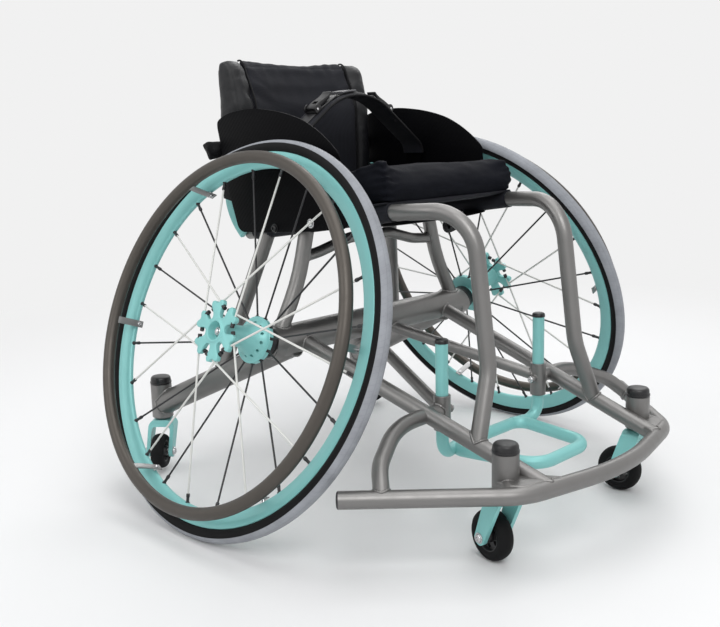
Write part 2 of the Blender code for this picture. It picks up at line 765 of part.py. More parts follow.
def rail_ends():
    """The lower rail's axis, from inside the camber tube to the bumper's front bar."""
    slope = (BUMPER_FRONT_Y - BUMPER_CORNER_Y) / (BUMPER_CORNER_X - BUMPER_FLAT_HALF)
    front_y = BUMPER_CORNER_Y + slope * (BUMPER_CORNER_X - RAIL_FRONT_X)
    return (
        Vector((RAIL_REAR_X, 0.0, CAMBER_TUBE_HEIGHT)),
        Vector((RAIL_FRONT_X, front_y, BUMPER_HEIGHT)),
    )


def rail_at(y):
    rear, front = rail_ends()
    return rear.lerp(front, (y - rear.y) / (front.y - rear.y))


def rear_tube_at(share):
    start = Vector((REAR_TUBE_START_X, 0.0, CAMBER_TUBE_HEIGHT - REAR_TUBE_START_DROP))
    end = Vector((REAR_STEM_X, REAR_STEM_Y, REAR_HOUSING_BASE + REAR_HOUSING_HEIGHT * 0.36))
    return start.lerp(end, share)


def upright_path():
    """The front upright's axis, from inside the camber tube to the seat tube."""
    top = seat_tube_at(0.0)
    foot = (UPRIGHT_FOOT_X, 0.0, CAMBER_TUBE_HEIGHT + CAMBER_TUBE * 0.7)
    return bent([
        (foot, 0.0), ((UPRIGHT_KNEE_X, 0.0, UPRIGHT_KNEE_HEIGHT), UPRIGHT_BEND), (top, 0.0),
    ])


def upright_at(height):
    path = upright_path()
    for low, high in zip(path, path[1:]):
        if height <= high.z:
            return low.lerp(high, (height - low.z) / (high.z - low.z))
    return path[-1]


def seat_and_leg_path():
    return bent([
        ((SEAT_REAR_X, SEAT_REAR_Y, SEAT_REAR_HEIGHT), 0.0),
        ((SEAT_FRONT_X, SEAT_FRONT_Y, SEAT_FRONT_HEIGHT), SEAT_FRONT_BEND),
        ((KNEE_X, KNEE_Y, KNEE_HEIGHT), KNEE_BEND),
        ((SHIN_X, SHIN_Y, SHIN_HEIGHT), SHIN_BEND),
        (rail_at(LEG_FOOT_Y), 0.0),
    ])


def socket_point(height):
    return Vector((SOCKET_X, SOCKET_Y, height))


def side_brace_path():
    """The brace from the footrest socket over the rail and out to the wing."""
    wing_end = Vector((WING_END_X, WING_END_Y, BUMPER_HEIGHT))
    corner = Vector((BUMPER_CORNER_X, BUMPER_CORNER_Y, BUMPER_HEIGHT))
    return bent([
        (socket_point(SOCKET_BASE + V_BRACE_END_RISE), 0.0),
        ((BRACE_SIDE_X, BRACE_SIDE_Y, BRACE_SIDE_HEIGHT), BRACE_SIDE_BEND),
        ((BRACE_OUT_X, BRACE_OUT_Y, BRACE_OUT_HEIGHT), BRACE_OUT_BEND),
        (wing_end.lerp(corner, BRACE_WING_SHARE), 0.0),
    ])


def v_brace_path():
    return [
        Vector((V_BRACE_START_X, V_BRACE_START_Y, CAMBER_TUBE_HEIGHT - V_BRACE_START_DROP)),
        socket_point(SOCKET_BASE + V_BRACE_END_RISE),
    ]


def cross_path():
    """The front cross tube's axis, from one upright to the other."""
    end = upright_at(CROSS_HEIGHT)
    half = [
        (end, 0.0),
        ((CROSS_BEND_X, CROSS_BEND_Y, CROSS_HEIGHT + CROSS_END_RISE), CROSS_BEND),
        ((CROSS_MIDDLE_X, CROSS_MIDDLE_Y, CROSS_MIDDLE_HEIGHT), CROSS_BEND),
    ]
    other = [(mirrored(point, -1), radius) for point, radius in reversed(half)]
    return bent(half + other)


def bumper_path():
    half = bumper_corner_path()
    return bent(half + [(mirrored(point, -1), radius) for point, radius in reversed(half)])


def camber_cutter():
    reach = CAMBER_TUBE_HALF + 0.02
    low = Vector((-reach, 0, CAMBER_TUBE_HEIGHT))
    high = Vector((reach, 0, CAMBER_TUBE_HEIGHT))
    return rod(low, high, around(CAMBER_TUBE + WELD_GAP, 20), 20)


def axle_boss(side, extra):
    frame = wheel_frame(side)
    start = frame @ Vector((0, 0, AXLE_FRAME_FACE - AXLE_INSERT * 1.15))
    end = frame @ Vector((0, 0, AXLE_FRAME_FACE + extra * 8))
    return rod(start, end, AXLE_BOSS_RADIUS + extra, 16)


def end_trimmer(side):
    """What lies beyond the face that the axle's bush stands on."""
    half = AXLE_TRIM_HALF
    return moved(
        box((-half, -half, AXLE_FRAME_FACE - WELD_GAP), (half, half, AXLE_FRAME_FACE + AXLE_TRIM_REACH)),
        wheel_frame(side),
    )


def make_side_frame(side):
    """Everything welded at one side: seat and leg tube, rail, uprights, rear tube, brace and sockets."""
    frame = tube(both_ways(side, seat_and_leg_path()), MAIN_TUBE)
    stem = Vector((FRONT_STEM_X, FRONT_STEM_Y, 0))
    rear_stem = Vector((REAR_STEM_X, REAR_STEM_Y, 0))
    nearest = min(bumper_path(), key=lambda point: (point - stem).length)
    up = Vector((0, 0, 1))
    rise = seat_tube_at(REAR_UPRIGHT_TOP_Y)
    boss_end = Vector((SOCKET_X - CLAMP_BOSS_REACH, SOCKET_Y, SOCKET_BASE + CLAMP_RISE))
    socket_top = SOCKET_BASE + SOCKET_HEIGHT
    pieces = [
        tube(both_ways(side, rail_ends()), MAIN_TUBE),
        tube(both_ways(side, upright_path()), MAIN_TUBE),
        tube(both_ways(side, [rise, rear_tube_at(REAR_UPRIGHT_FOOT)]), MAIN_TUBE),
        rod(mirrored(rear_tube_at(0), side), mirrored(rear_tube_at(0.985), side), REAR_TUBE, 12),
        tube(both_ways(side, side_brace_path()), BRACE_TUBE),
        rod(
            mirrored(stem + up * FRONT_HOUSING_BASE, side),
            mirrored(stem + up * (FRONT_HOUSING_BASE + FRONT_HOUSING_HEIGHT), side), HOUSING_RADIUS, 16,
        ),
        rod(
            mirrored(rear_stem + up * REAR_HOUSING_BASE, side),
            mirrored(rear_stem + up * (REAR_HOUSING_BASE + REAR_HOUSING_HEIGHT), side), HOUSING_RADIUS, 16,
        ),
        rod(mirrored(stem + up * GUSSET_HEIGHT, side), mirrored(nearest, side), GUSSET_RADIUS, 10),
        rod(
            mirrored(socket_point(SOCKET_BASE), side), mirrored(socket_point(socket_top), side),
            POST_RADIUS + SLIDE_GAP + SOCKET_WALL, 12,
        ),
        rod(mirrored(socket_point(boss_end.z), side), mirrored(boss_end, side), CLAMP_BOSS_RADIUS, 10),
    ]
    join(frame, *pieces)
    bore = around(STEM_BEARING_RADIUS + RUN_GAP)
    margin = 0.01
    cutters = [
        camber_cutter(),
        axle_boss(side, WELD_GAP),
        end_trimmer(side),
        tube(bumper_path(), MAIN_TUBE + WELD_GAP),
        rod(
            mirrored(stem + up * (FRONT_HOUSING_BASE - margin), side),
            mirrored(stem + up * (FRONT_HOUSING_BASE + FRONT_HOUSING_HEIGHT + margin), side), bore, BORE_FACETS,
        ),
        rod(
            mirrored(rear_stem + up * (REAR_HOUSING_BASE - margin), side),
            mirrored(rear_stem + up * (REAR_HOUSING_BASE + REAR_HOUSING_HEIGHT + margin), side), bore, BORE_FACETS,
        ),
        rod(
            mirrored(socket_point(SOCKET_BASE - margin), side),
            mirrored(socket_point(socket_top + margin), side), around(POST_RADIUS + SLIDE_GAP), BORE_FACETS,
        ),
        rod(
            mirrored(socket_point(boss_end.z), side),
            mirrored(boss_end - Vector((margin, 0, 0)), side),
            around(CLAMP_SCREW_RADIUS + WELD_GAP), BORE_FACETS,
        ),
    ]
    cut(frame, *cutters)
    finish(frame, "side_frame_" + name_of(side), FRAME, CHAIR)


def make_camber_frame():
    """The camber tube with its axle bosses and the two braces that run to the footrest sockets."""
    frame = rod(
        (-CAMBER_TUBE_HALF, 0, CAMBER_TUBE_HEIGHT), (CAMBER_TUBE_HALF, 0, CAMBER_TUBE_HEIGHT), CAMBER_TUBE, 20
    )
    joined = [axle_boss(1, 0.0), axle_boss(-1, 0.0)]
    joined += [tube(both_ways(side, v_brace_path()), V_BRACE_TUBE) for side in (1, -1)]
    join(frame, *joined)
    cutters = []
    for side in (1, -1):
        axle = wheel_frame(side)
        start = axle @ Vector((0, 0, AXLE_FRAME_FACE - AXLE_INSERT - REST_GAP))
        end = axle @ Vector((0, 0, AXLE_FRAME_FACE + 0.01))
        cutters.append(rod(start, end, around(AXLE_RADIUS + WELD_GAP), BORE_FACETS))
        cutters.append(end_trimmer(side))
        socket = around(POST_RADIUS + SLIDE_GAP + SOCKET_WALL + WELD_GAP)
        low = mirrored(socket_point(SOCKET_BASE - 0.01), side)
        high = mirrored(socket_point(SOCKET_BASE + SOCKET_HEIGHT + 0.01), side)
        cutters.append(rod(low, high, socket, BORE_FACETS))
        cutters.append(tube(both_ways(side, side_brace_path()), BRACE_TUBE + WELD_GAP))
    cut(frame, *cutters)
    finish(frame, "camber_frame", FRAME, CHAIR)


def make_bumper():
    path = bumper_path()
    finish(tube(path, MAIN_TUBE), "bumper", FRAME, CHAIR)
    for side in (1, -1):
        end = mirrored(path[0], side)
        along = (end - mirrored(path[1], side)).normalized()
        plug = rod(end + along * WELD_GAP, end + along * (WELD_GAP + PLUG_THICK), MAIN_TUBE, 16)
        finish(plug, "bumper_plug_" + name_of(side), BLACK, CHAIR)


def make_cross_tube():
    cross = tube(cross_path(), CROSS_TUBE)
    posts = [tube(both_ways(side, upright_path()), MAIN_TUBE + WELD_GAP) for side in (1, -1)]
    cut(cross, *posts)
    finish(cross, "seat_cross_tube", FRAME, CHAIR)


def make_footrest():
    """A flat loop with a post at each side, whose caps and clamp screws are pieces of their own."""
    loop = tube(
        bent([
            ((LOOP_REAR_X, LOOP_REAR_Y, LOOP_HEIGHT), LOOP_REAR_BEND),
            ((LOOP_FRONT_X, LOOP_FRONT_Y, LOOP_HEIGHT), LOOP_FRONT_BEND),
            ((-LOOP_FRONT_X, LOOP_FRONT_Y, LOOP_HEIGHT), LOOP_FRONT_BEND),
            ((-LOOP_REAR_X, LOOP_REAR_Y, LOOP_HEIGHT), LOOP_REAR_BEND),
        ], step=math.radians(24.0)),
        POST_RADIUS, cyclic=True,
    )
    posts = []
    for side in (1, -1):
        path = bent([
            (socket_point(POST_TOP), 0.0),
            (socket_point(LOOP_HEIGHT + REST_GAP), POST_BEND),
            ((LOOP_REAR_X - LOOP_REAR_BEND, LOOP_REAR_Y, LOOP_HEIGHT + REST_GAP), 0.0),
        ], step=math.radians(24.0))
        posts.append(tube(both_ways(side, path), POST_RADIUS * 0.99))
    join(loop, *posts)
    finish(loop, "footrest", MINT, CHAIR)
    for side in (1, -1):
        base = mirrored(socket_point(POST_TOP + WELD_GAP), side)
        edge = POST_CAP_THICK * 0.35
        cap = turned(
            [
                (0.0, POST_CAP_THICK), (POST_CAP_RADIUS - edge, POST_CAP_THICK),
                (POST_CAP_RADIUS, POST_CAP_THICK - edge), (POST_CAP_RADIUS, 0.0), (0.0, 0.0),
            ],
            16,
        )
        finish(moved(cap, Matrix.Translation(base)), "post_cap_" + name_of(side), BLACK, CHAIR)
        tip = mirrored(socket_point(SOCKET_BASE + CLAMP_RISE), side)
        inward = Vector((-side, 0, 0))
        start = POST_RADIUS + SLIDE_GAP + WELD_GAP
        shank = rod(tip + inward * start, tip + inward * (CLAMP_BOSS_REACH + 0.002), CLAMP_SCREW_RADIUS, 8)
        head_start = CLAMP_BOSS_REACH + WELD_GAP
        head = rod(
            tip + inward * head_start, tip + inward * (head_start + CLAMP_HEAD_THICK), CLAMP_HEAD_RADIUS, 12
        )
        finish(join(shank, head), "clamp_screw_" + name_of(side), STEEL, CHAIR)


def make_fork(crown_top, housing_top, axle_height):
    """An arch seen from the front, trimmed to a raked leg seen from the side, with its stem."""
    outer = FORK_INNER_HALF + FORK_LEG_THICK
    inner = FORK_INNER_HALF
    base = axle_height - FORK_END_RADIUS - FORK_END_MARGIN
    depth = 2 * (CASTER_TRAIL + FORK_END_RADIUS + FORK_CROWN_FRONT)
    arch_top = crown_top - FORK_CROWN_THICK
    soft = FORK_CROWN_THICK * 0.5
    front = [(-outer, base)] + arc((-outer + FORK_SHOULDER, crown_top - FORK_SHOULDER), FORK_SHOULDER, 180, 90, 2)
    front += arc((outer - FORK_SHOULDER, crown_top - FORK_SHOULDER), FORK_SHOULDER, 90, 0, 2)
    front += [(outer, base), (inner, base)] + arc((inner - soft, arch_top - soft), soft, 0, 90, 2)
    front += arc((-inner + soft, arch_top - soft), soft, 90, 180, 2) + [(-inner, base)]
    upright = Matrix.Rotation(math.pi / 2, 4, "X")
    fork = plate(front, depth, upright)
    rake = math.atan2(CASTER_TRAIL, crown_top - axle_height)
    leg = [(-FORK_CROWN_FRONT, crown_top + FORK_END_MARGIN), (-FORK_CROWN_FRONT, arch_top)]
    leg += arc((CASTER_TRAIL, axle_height), FORK_END_RADIUS, 180 + math.degrees(rake) * 0.6, 360, 5)
    leg += [(FORK_CROWN_REAR, arch_top + soft), (FORK_CROWN_REAR, crown_top + FORK_END_MARGIN)]
    sideways = Matrix(((0, 0, 1, 0), (1, 0, 0, 0), (0, 1, 0, 0), (0, 0, 0, 1)))
    combine(fork, [plate(leg, 2 * (outer + FORK_LEG_THICK), sideways)], "INTERSECT")
    top = housing_top - STEM_END_DEPTH
    low = crown_top + CROWN_GAP + STEM_END_DEPTH / 2
    foot = crown_top - FORK_CROWN_THICK / 3
    profile = [
        (0.0, top), (STEM_BEARING_RADIUS, top), (STEM_BEARING_RADIUS, top - STEM_BEARING_WIDTH),
        (STEM_RADIUS, top - STEM_BEARING_WIDTH), (STEM_RADIUS, low + STEM_BEARING_WIDTH),
        (STEM_BEARING_RADIUS, low + STEM_BEARING_WIDTH), (STEM_BEARING_RADIUS, foot), (0.0, foot),
    ]
    join(fork, turned(profile, 8))
    reach = outer + FORK_LEG_THICK
    hole = rod(
        (-reach, CASTER_TRAIL, axle_height), (reach, CASTER_TRAIL, axle_height),
        around(CASTER_BOLT_RADIUS + WELD_GAP), BORE_FACETS,
    )
    return cut(fork, hole)


def make_caster_wheel(radius, axle_height):
    half = CASTER_HALF_WIDTH
    bore = around(CASTER_BOLT_RADIUS + RUN_GAP, CASTER_FACETS)
    tread = [
        (radius - half * 0.62, half), (radius - half * 0.18, half * 0.74), (radius, half * 0.22),
    ]
    core = [(bore, half * 0.97), (radius * 0.30, half * 0.97), (radius * 0.42, half * 0.62)]
    profile = core + tread
    profile += [(r, -h) for r, h in reversed(profile)]
    wheel = turned(profile, CASTER_FACETS, ring=True)
    across = Matrix.Rotation(math.pi / 2, 4, "Y")
    return moved(wheel, Matrix.Translation((0, CASTER_TRAIL, axle_height)) @ across)


def make_caster_bolt(axle_height):
    outer = FORK_INNER_HALF + FORK_LEG_THICK + WELD_GAP
    head = outer + CASTER_BOLT_HEAD_THICK
    half = [(0.0, head), (CASTER_BOLT_HEAD_RADIUS, head), (CASTER_BOLT_HEAD_RADIUS, outer), (CASTER_BOLT_RADIUS, outer)]
    profile = half + [(r, -h) for r, h in reversed(half)]
    across = Matrix.Rotation(math.pi / 2, 4, "Y")
    return moved(turned(profile, 8), Matrix.Translation((0, CASTER_TRAIL, axle_height)) @ across)


def make_caster(place, stem, housing_base, housing_height, radius, lift, swivel):
    axle_height = radius + lift
    crown_top = housing_base - CROWN_GAP
    housing_top = housing_base + housing_height
    centre = new_empty("caster_" + place, CHAIR, Matrix.Translation(stem) @ Matrix.Rotation(swivel, 4, "Z"))
    finish(make_fork(crown_top, housing_top, axle_height), "caster_fork_" + place, MINT, centre)
    finish(make_caster_wheel(radius, axle_height), "caster_wheel_" + place, RUBBER, centre)
    finish(make_caster_bolt(axle_height), "caster_bolt_" + place, STEEL, centre)
    top = housing_top + WELD_GAP
    profile = [
        (0.0, top + CAP_RIM_THICK + CAP_DOME_RISE),
        (HOUSING_RADIUS * 0.55, top + CAP_RIM_THICK + CAP_DOME_RISE * 0.8),
        (HOUSING_RADIUS * 0.92, top + CAP_RIM_THICK), (HOUSING_RADIUS, top + CAP_RIM_THICK * 0.8),
        (HOUSING_RADIUS, top), (0.0, top),
    ]
    finish(turned(profile, 14), "caster_cap_" + place, BLACK, centre)


def seat_frame():
    """A frame on the seat tubes' axes at the front of the sling: Y to the rear, Z square to the seat."""
    return Matrix.Translation((0, SEAT_FRONT_Y, SEAT_FRONT_HEIGHT)) @ Matrix.Rotation(-SEAT_TILT, 4, "X")


def pad(half_width, length, thick_at, crown, pull, cuts, matrix):
    """A stuffed form on a flat base: crowned top, sides drawn in between the corners, soft edges.

    Its thickness is thick_at(across, along), from -1 to 1 across and 0 to 1 along."""
    graph = bmesh.new()
    bmesh.ops.create_cube(graph, size=2.0)
    bmesh.ops.subdivide_edges(graph, edges=graph.edges, cuts=cuts, use_grid_fill=True)
    for vert in graph.verts:
        across, along, up = vert.co
        top = (up + 1) / 2
        swell = (1 - across ** 2) * (1 - along ** 2)
        draw_side = 1 - pull / half_width * (1 - along ** 2) * 0.35 - pull / half_width * (1 - up ** 2) * 0.25
        draw_end = 1 - 2 * pull / length * (1 - across ** 2) * 0.3 - 2 * pull / length * (1 - up ** 2) * 0.25
        vert.co = (
            across * half_width * (draw_side if abs(across) == 1 else 1 - (1 - draw_side) * abs(across)),
            length / 2 * (1 + along * (draw_end if abs(along) == 1 else 1 - (1 - draw_end) * abs(along))),
            (thick_at(across, (along + 1) / 2) + crown * swell) * top,
        )
    piece = object_from(graph)
    smooth = piece.modifiers.new("soft", "SUBSURF")
    smooth.levels = 1
    smooth.render_levels = 1
    return moved(settled(piece), matrix)


def make_seat():
    frame = seat_frame()
    top = MAIN_TUBE + WELD_GAP
    length = (SEAT_REAR_Y - SEAT_FRONT_Y) / math.cos(SEAT_TILT) - SLING_REAR_MARGIN
    sling = box((-SLING_HALF_WIDTH, 0, top), (SLING_HALF_WIDTH, length, top + SLING_THICK))
    finish(moved(sling, frame), "seat_sling", FABRIC, CHAIR)
    lift = Matrix.Translation((0, CUSHION_FRONT_MARGIN, top + SLING_THICK + WELD_GAP))
    cushion = pad(
        CUSHION_HALF_WIDTH, CUSHION_LENGTH, lambda across, along: CUSHION_THICK, CUSHION_CROWN, CUSHION_PULL, 4,
        frame @ lift,
    )
    finish(cushion, "seat_cushion", FABRIC, CHAIR)


def back_frame():
    """A frame at the foot of the backrest's rear face: X across, Y up the back and Z to the front."""
    return Matrix.Translation((0, BACK_REAR_Y, BACK_BASE)) @ Matrix.Rotation(math.pi / 2, 4, "X")


def back_thick(height):
    """The backrest's thickness beside the panel: full below the taper, thin at the top."""
    share = max(0.0, (height - BACK_TAPER_HEIGHT) / (BACK_TOP - BACK_TAPER_HEIGHT))
    return BACK_THICK + (BACK_TOP_THICK - BACK_THICK) * share


def make_back():
    tall = BACK_TOP - BACK_BASE
    panel = pad(
        BOLSTER_INNER - REST_GAP, tall, lambda across, along: back_thick(BACK_BASE + along * tall), -BACK_HOLLOW,
        BACK_PULL, 2, back_frame(),
    )
    finish(panel, "backrest_panel", FABRIC, CHAIR)
    half = (BACK_HALF_WIDTH - BOLSTER_INNER) / 2
    bolster_tall = BOLSTER_TOP - BACK_BASE
    sideways = Matrix(((0, 0, 1, 0), (1, 0, 0, 0), (0, 1, 0, 0), (0, 0, 0, 1)))
    for side in (1, -1):
        def thick_at(across, along, side=side):
            inner = back_thick(BACK_BASE + along * bolster_tall)
            return inner + (BOLSTER_OUTER_THICK - inner) * (1 + across * side) / 4

        shift = Matrix.Translation((side * (BOLSTER_INNER + half), 0, 0))
        bolster = pad(half, bolster_tall, thick_at, BOLSTER_CROWN, BOLSTER_CROWN, 2, back_frame() @ shift)
        inner_face = POST_PLATE_OUTER - POST_PLATE_THICK
        middle = Vector((side * (inner_face + POST_PLATE_THICK / 2), PLATE_PATH[-1][0], BACK_POST_HEIGHT))
        tip = Vector((side * (inner_face - BACK_POST_INSERT), middle.y, BACK_POST_HEIGHT))
        pocket_tip = tip - Vector((side * REST_GAP, 0, 0))
        cut(bolster, rod(middle, pocket_tip, around(BACK_POST_RADIUS + WELD_GAP), BORE_FACETS))
        finish(bolster, "back_bolster_" + name_of(side), LEATHER, CHAIR)
        offset = Matrix.Translation((middle.x, 0, 0))
        bracket = plate(ribbon(PLATE_PATH, POST_PLATE_WIDTH), POST_PLATE_THICK, offset @ sideways)
        finish(join(bracket, rod(middle, tip, BACK_POST_RADIUS, 12)), "back_bracket_" + name_of(side), MINT, CHAIR)


def ribbon(path, width):
    """The outline of a flat band of one width along a path."""
    spots = [Vector(point) for point in path]
    left, right = [], []
    for index, spot in enumerate(spots):
        before = spots[max(index - 1, 0)]
        after = spots[min(index + 1, len(spots) - 1)]
        along = (after - before).normalized()
        normal = Vector((-along.y, along.x))
        left.append(tuple(spot + normal * width / 2))
        right.append(tuple(spot - normal * width / 2))
    return right + left[::-1]


def make_guards():
    sideways = Matrix(((0, 0, 1, 0), (1, 0, 0, 0), (0, 1, 0, 0), (0, 0, 0, 1)))
    for side in (1, -1):
        place = Matrix.Translation((side * GUARD_PLANE, 0, 0))
        guard = plate(GUARD_OUTLINE, GUARD_THICK, place @ sideways)
        spacers = []
        for y in GUARD_BOLT_SPOTS:
            spot = seat_tube_at(y)
            inner = Vector((spot.x + MAIN_TUBE + WELD_GAP, y, spot.z))
            outer = Vector((GUARD_PLANE, y, spot.z))
            spacers.append(rod(mirrored(inner, side), mirrored(outer, side), GUARD_SPACER_RADIUS, 12))
        join(guard, *spacers)
        finish(guard, "side_guard_" + name_of(side), CARBON, CHAIR)


def belt_path():
    """The belt's middle line from one anchor over the lap to the other, in a plane that leans forwards."""
    half = [
        ((BELT_ANCHOR_X, BELT_ANCHOR_Y, BELT_ANCHOR_HEIGHT), 0.0),
        ((BELT_ANCHOR_X, BELT_ARCH_Y, BELT_SHOULDER_HEIGHT), BELT_BEND),
        ((BELT_CREST_X, BELT_ARCH_Y, BELT_ARCH_HEIGHT), BELT_CREST_BEND),
    ]
    return bent(half + [(mirrored(point, -1), radius) for point, radius in reversed(half)])


def buckle_frame(side):
    """A frame on the belt's outer face at a buckle: X along the belt to the side, Z out of the belt."""
    path = belt_path()
    index = max(k for k, point in enumerate(path) if point.x >= BUCKLE_X)
    outer, inner = path[index], path[index + 1]
    middle = outer.lerp(inner, (outer.x - BUCKLE_X) / (outer.x - inner.x))
    along = mirrored(outer - inner, side).normalized()
    across = Vector((0, 1, 0)) * side
    out = along.cross(across)
    turn = Matrix((along, across, out)).transposed().to_4x4()
    return Matrix.Translation(mirrored(middle, side)) @ turn


def make_belt():
    """The padded belt with both ratchet bodies on it, and a lever hinged in each."""
    path = belt_path()
    graph = bmesh.new()
    half = BELT_WIDTH / 2
    rows = []
    for point in path:
        rows.append([graph.verts.new(point + Vector((0, way * half, 0))) for way in (-1, 1)])
    for low, high in zip(rows, rows[1:]):
        graph.faces.new((low[0], low[1], high[1], high[0]))
    belt = object_from(graph)
    wall = belt.modifiers.new("webbing", "SOLIDIFY")
    wall.thickness = BELT_THICK
    wall.offset = 0.0
    belt = settled(belt)
    face = BELT_THICK / 2
    for side in (1, -1):
        frame = buckle_frame(side)
        base = box(
            (-BUCKLE_LENGTH / 2, -BUCKLE_WIDTH / 2, 0), (BUCKLE_LENGTH / 2, BUCKLE_WIDTH / 2, face + BUCKLE_THICK / 2)
        )
        ear_in = LEVER_WIDTH / 2 + RUN_GAP
        ear_top = face + BUCKLE_THICK + LEVER_THICK
        hinge = BUCKLE_LENGTH / 2 - 0.006
        ears = [
            box((hinge - 0.006, min(way * ear_in, way * BUCKLE_WIDTH / 2), 0),
                (hinge + 0.005, max(way * ear_in, way * BUCKLE_WIDTH / 2), ear_top))
            for way in (-1, 1)
        ]
        join(base, *ears)
        join(belt, moved(base, frame))
    finish(belt, "lap_belt", FABRIC, CHAIR)
    for side in (1, -1):
        frame = buckle_frame(side)
        hinge = BUCKLE_LENGTH / 2 - 0.006
        lift = face + BUCKLE_THICK / 2 + REST_GAP
        pivot = lift + LEVER_PIN_RADIUS
        centre = new_empty(
            "ratchet_" + name_of(side), CHAIR, frame @ Matrix.Translation((hinge, 0, pivot))
        )
        barrel = rod((0, -LEVER_WIDTH / 2, 0), (0, LEVER_WIDTH / 2, 0), LEVER_PIN_RADIUS, 12)
        arm = box(
            (-LEVER_LENGTH, -LEVER_WIDTH / 2 + 0.0005, -LEVER_PIN_RADIUS * 0.8),
            (0, LEVER_WIDTH / 2 - 0.0005, -LEVER_PIN_RADIUS * 0.8 + LEVER_THICK),
        )
        finish(join(arm, barrel), "ratchet_lever_" + name_of(side), BLACK, centre)


clear_scene()
PARTS = new_collection("wheelchair")
CHAIR = new_empty("chair", None, Matrix.Translation((0, AXLE_Y, 0)))
FRAME = new_material("frame_grey", (0.16, 0.16, 0.165), 0.38, 0.85)
MINT = new_material("mint", (0.22, 0.51, 0.49), 0.45, 0.1)
HANDRIM = new_material("handrim_bronze", (0.12, 0.10, 0.085), 0.35, 0.8)
RUBBER = new_material("rubber", (0.05, 0.05, 0.055), 0.8, 0.0)
WHITE = new_material("white_fibre", (0.8, 0.8, 0.78), 0.5, 0.0)
BLACK = new_material("black", (0.015, 0.015, 0.017), 0.45, 0.0)
STEEL = new_material("bright_steel", (0.55, 0.55, 0.56), 0.25, 1.0)
FABRIC = new_material("black_fabric", (0.012, 0.012, 0.014), 0.85, 0.0)
LEATHER = new_material("black_leather", (0.014, 0.014, 0.015), 0.5, 0.0)
CARBON = new_material("carbon", (0.012, 0.012, 0.014), 0.45, 0.0)

for main_side in (1, -1):
    make_main_wheel(main_side)
    make_side_frame(main_side)
make_camber_frame()
make_bumper()
make_cross_tube()
make_footrest()
for place, stem_side, swivel in (("front_left", 1, FRONT_LEFT_SWIVEL), ("front_right", -1, FRONT_RIGHT_SWIVEL)):
    make_caster(
        place, (stem_side * FRONT_STEM_X, FRONT_STEM_Y, 0), FRONT_HOUSING_BASE, FRONT_HOUSING_HEIGHT,
        FRONT_CASTER_RADIUS, 0.0, swivel,
    )
for place, stem_side, swivel in (("rear_left", 1, REAR_LEFT_SWIVEL), ("rear_right", -1, REAR_RIGHT_SWIVEL)):
    make_caster(
        place, (stem_side * REAR_STEM_X, REAR_STEM_Y, 0), REAR_HOUSING_BASE, REAR_HOUSING_HEIGHT,
        REAR_CASTER_RADIUS, REAR_CASTER_LIFT, swivel,
    )
make_seat()
make_back()
make_guards()
make_belt()
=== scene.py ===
"""The dressed wheelchair: smooth tubes, wheels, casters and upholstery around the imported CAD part.

Metres, +Z up. The occupant faces -Y and their left is +X. Lengths along the chair are written from the
main axle, as the CAD part has them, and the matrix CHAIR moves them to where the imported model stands.
"""
import json
import math

import bmesh
import bpy
from mathutils import Matrix, Vector, noise

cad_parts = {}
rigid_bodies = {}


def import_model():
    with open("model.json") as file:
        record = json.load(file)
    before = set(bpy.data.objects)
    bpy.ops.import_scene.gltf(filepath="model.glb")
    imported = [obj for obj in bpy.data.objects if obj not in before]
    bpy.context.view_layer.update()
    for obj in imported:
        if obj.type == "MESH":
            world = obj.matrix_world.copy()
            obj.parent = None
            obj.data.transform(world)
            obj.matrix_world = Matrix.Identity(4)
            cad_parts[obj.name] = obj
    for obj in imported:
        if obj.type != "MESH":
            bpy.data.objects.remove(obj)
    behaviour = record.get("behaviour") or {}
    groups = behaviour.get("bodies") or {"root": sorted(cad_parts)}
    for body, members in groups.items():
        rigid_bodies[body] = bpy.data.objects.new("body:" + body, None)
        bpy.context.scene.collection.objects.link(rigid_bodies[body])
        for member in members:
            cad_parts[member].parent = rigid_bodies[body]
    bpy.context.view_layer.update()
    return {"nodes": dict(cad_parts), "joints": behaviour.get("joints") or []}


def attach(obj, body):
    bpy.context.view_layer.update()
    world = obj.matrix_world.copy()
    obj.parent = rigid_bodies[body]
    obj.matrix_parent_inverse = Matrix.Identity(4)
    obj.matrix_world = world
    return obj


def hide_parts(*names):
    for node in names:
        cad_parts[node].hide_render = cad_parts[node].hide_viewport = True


for old in list(bpy.data.objects):
    bpy.data.objects.remove(old, do_unlink=True)

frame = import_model()
JOINTS = {joint["name"]: joint for joint in frame["joints"]}
AXLE = Vector(JOINTS["wheel_spin_left"]["pos_m"])
CHAIR = Matrix.Translation((0, AXLE.y, 0))

# Main wheels
WHEEL_CAMBER = math.asin(JOINTS["wheel_spin_left"]["axis"][2])
WHEEL_HALF_TRACK = AXLE.x
WHEEL_HEIGHT = AXLE.z
WHEEL_RADIUS = 0.320
TYRE_SECTION = 0.0125
RIM_SEAT = 0.2985
RIM_NOSE = 0.273
RIM_HALF = 0.0098
NOSE_HALF = 0.0035
PUSH_RADIUS = 0.278
PUSH_TUBE = 0.010
PUSH_OFFSET = 0.044
TABS = 6
TAB_ANGLE = math.radians(3.3)
SPOKE_ANGLE = math.radians(25.6)
SPOKES = 12
SPOKE_STEP = math.tau / SPOKES
HUB_FACE = 0.042
STAR_ARMS = 6
STAR_THICK = 0.008
SPOKE_HEAD_RADIUS = 0.0394
SPOKE_HEAD_HEIGHT = 0.0372
SPOKE_LEAN = math.radians(62.9)
FLANGE_RADIUS = 0.0385
FLANGE_OUTER = -0.038
FLANGE_THICK = 0.009
BUSH_FACE = -0.0710
BUSH_THICK = 0.0180
SIPES = 230
GROOVE_OFFSET = 0.0048

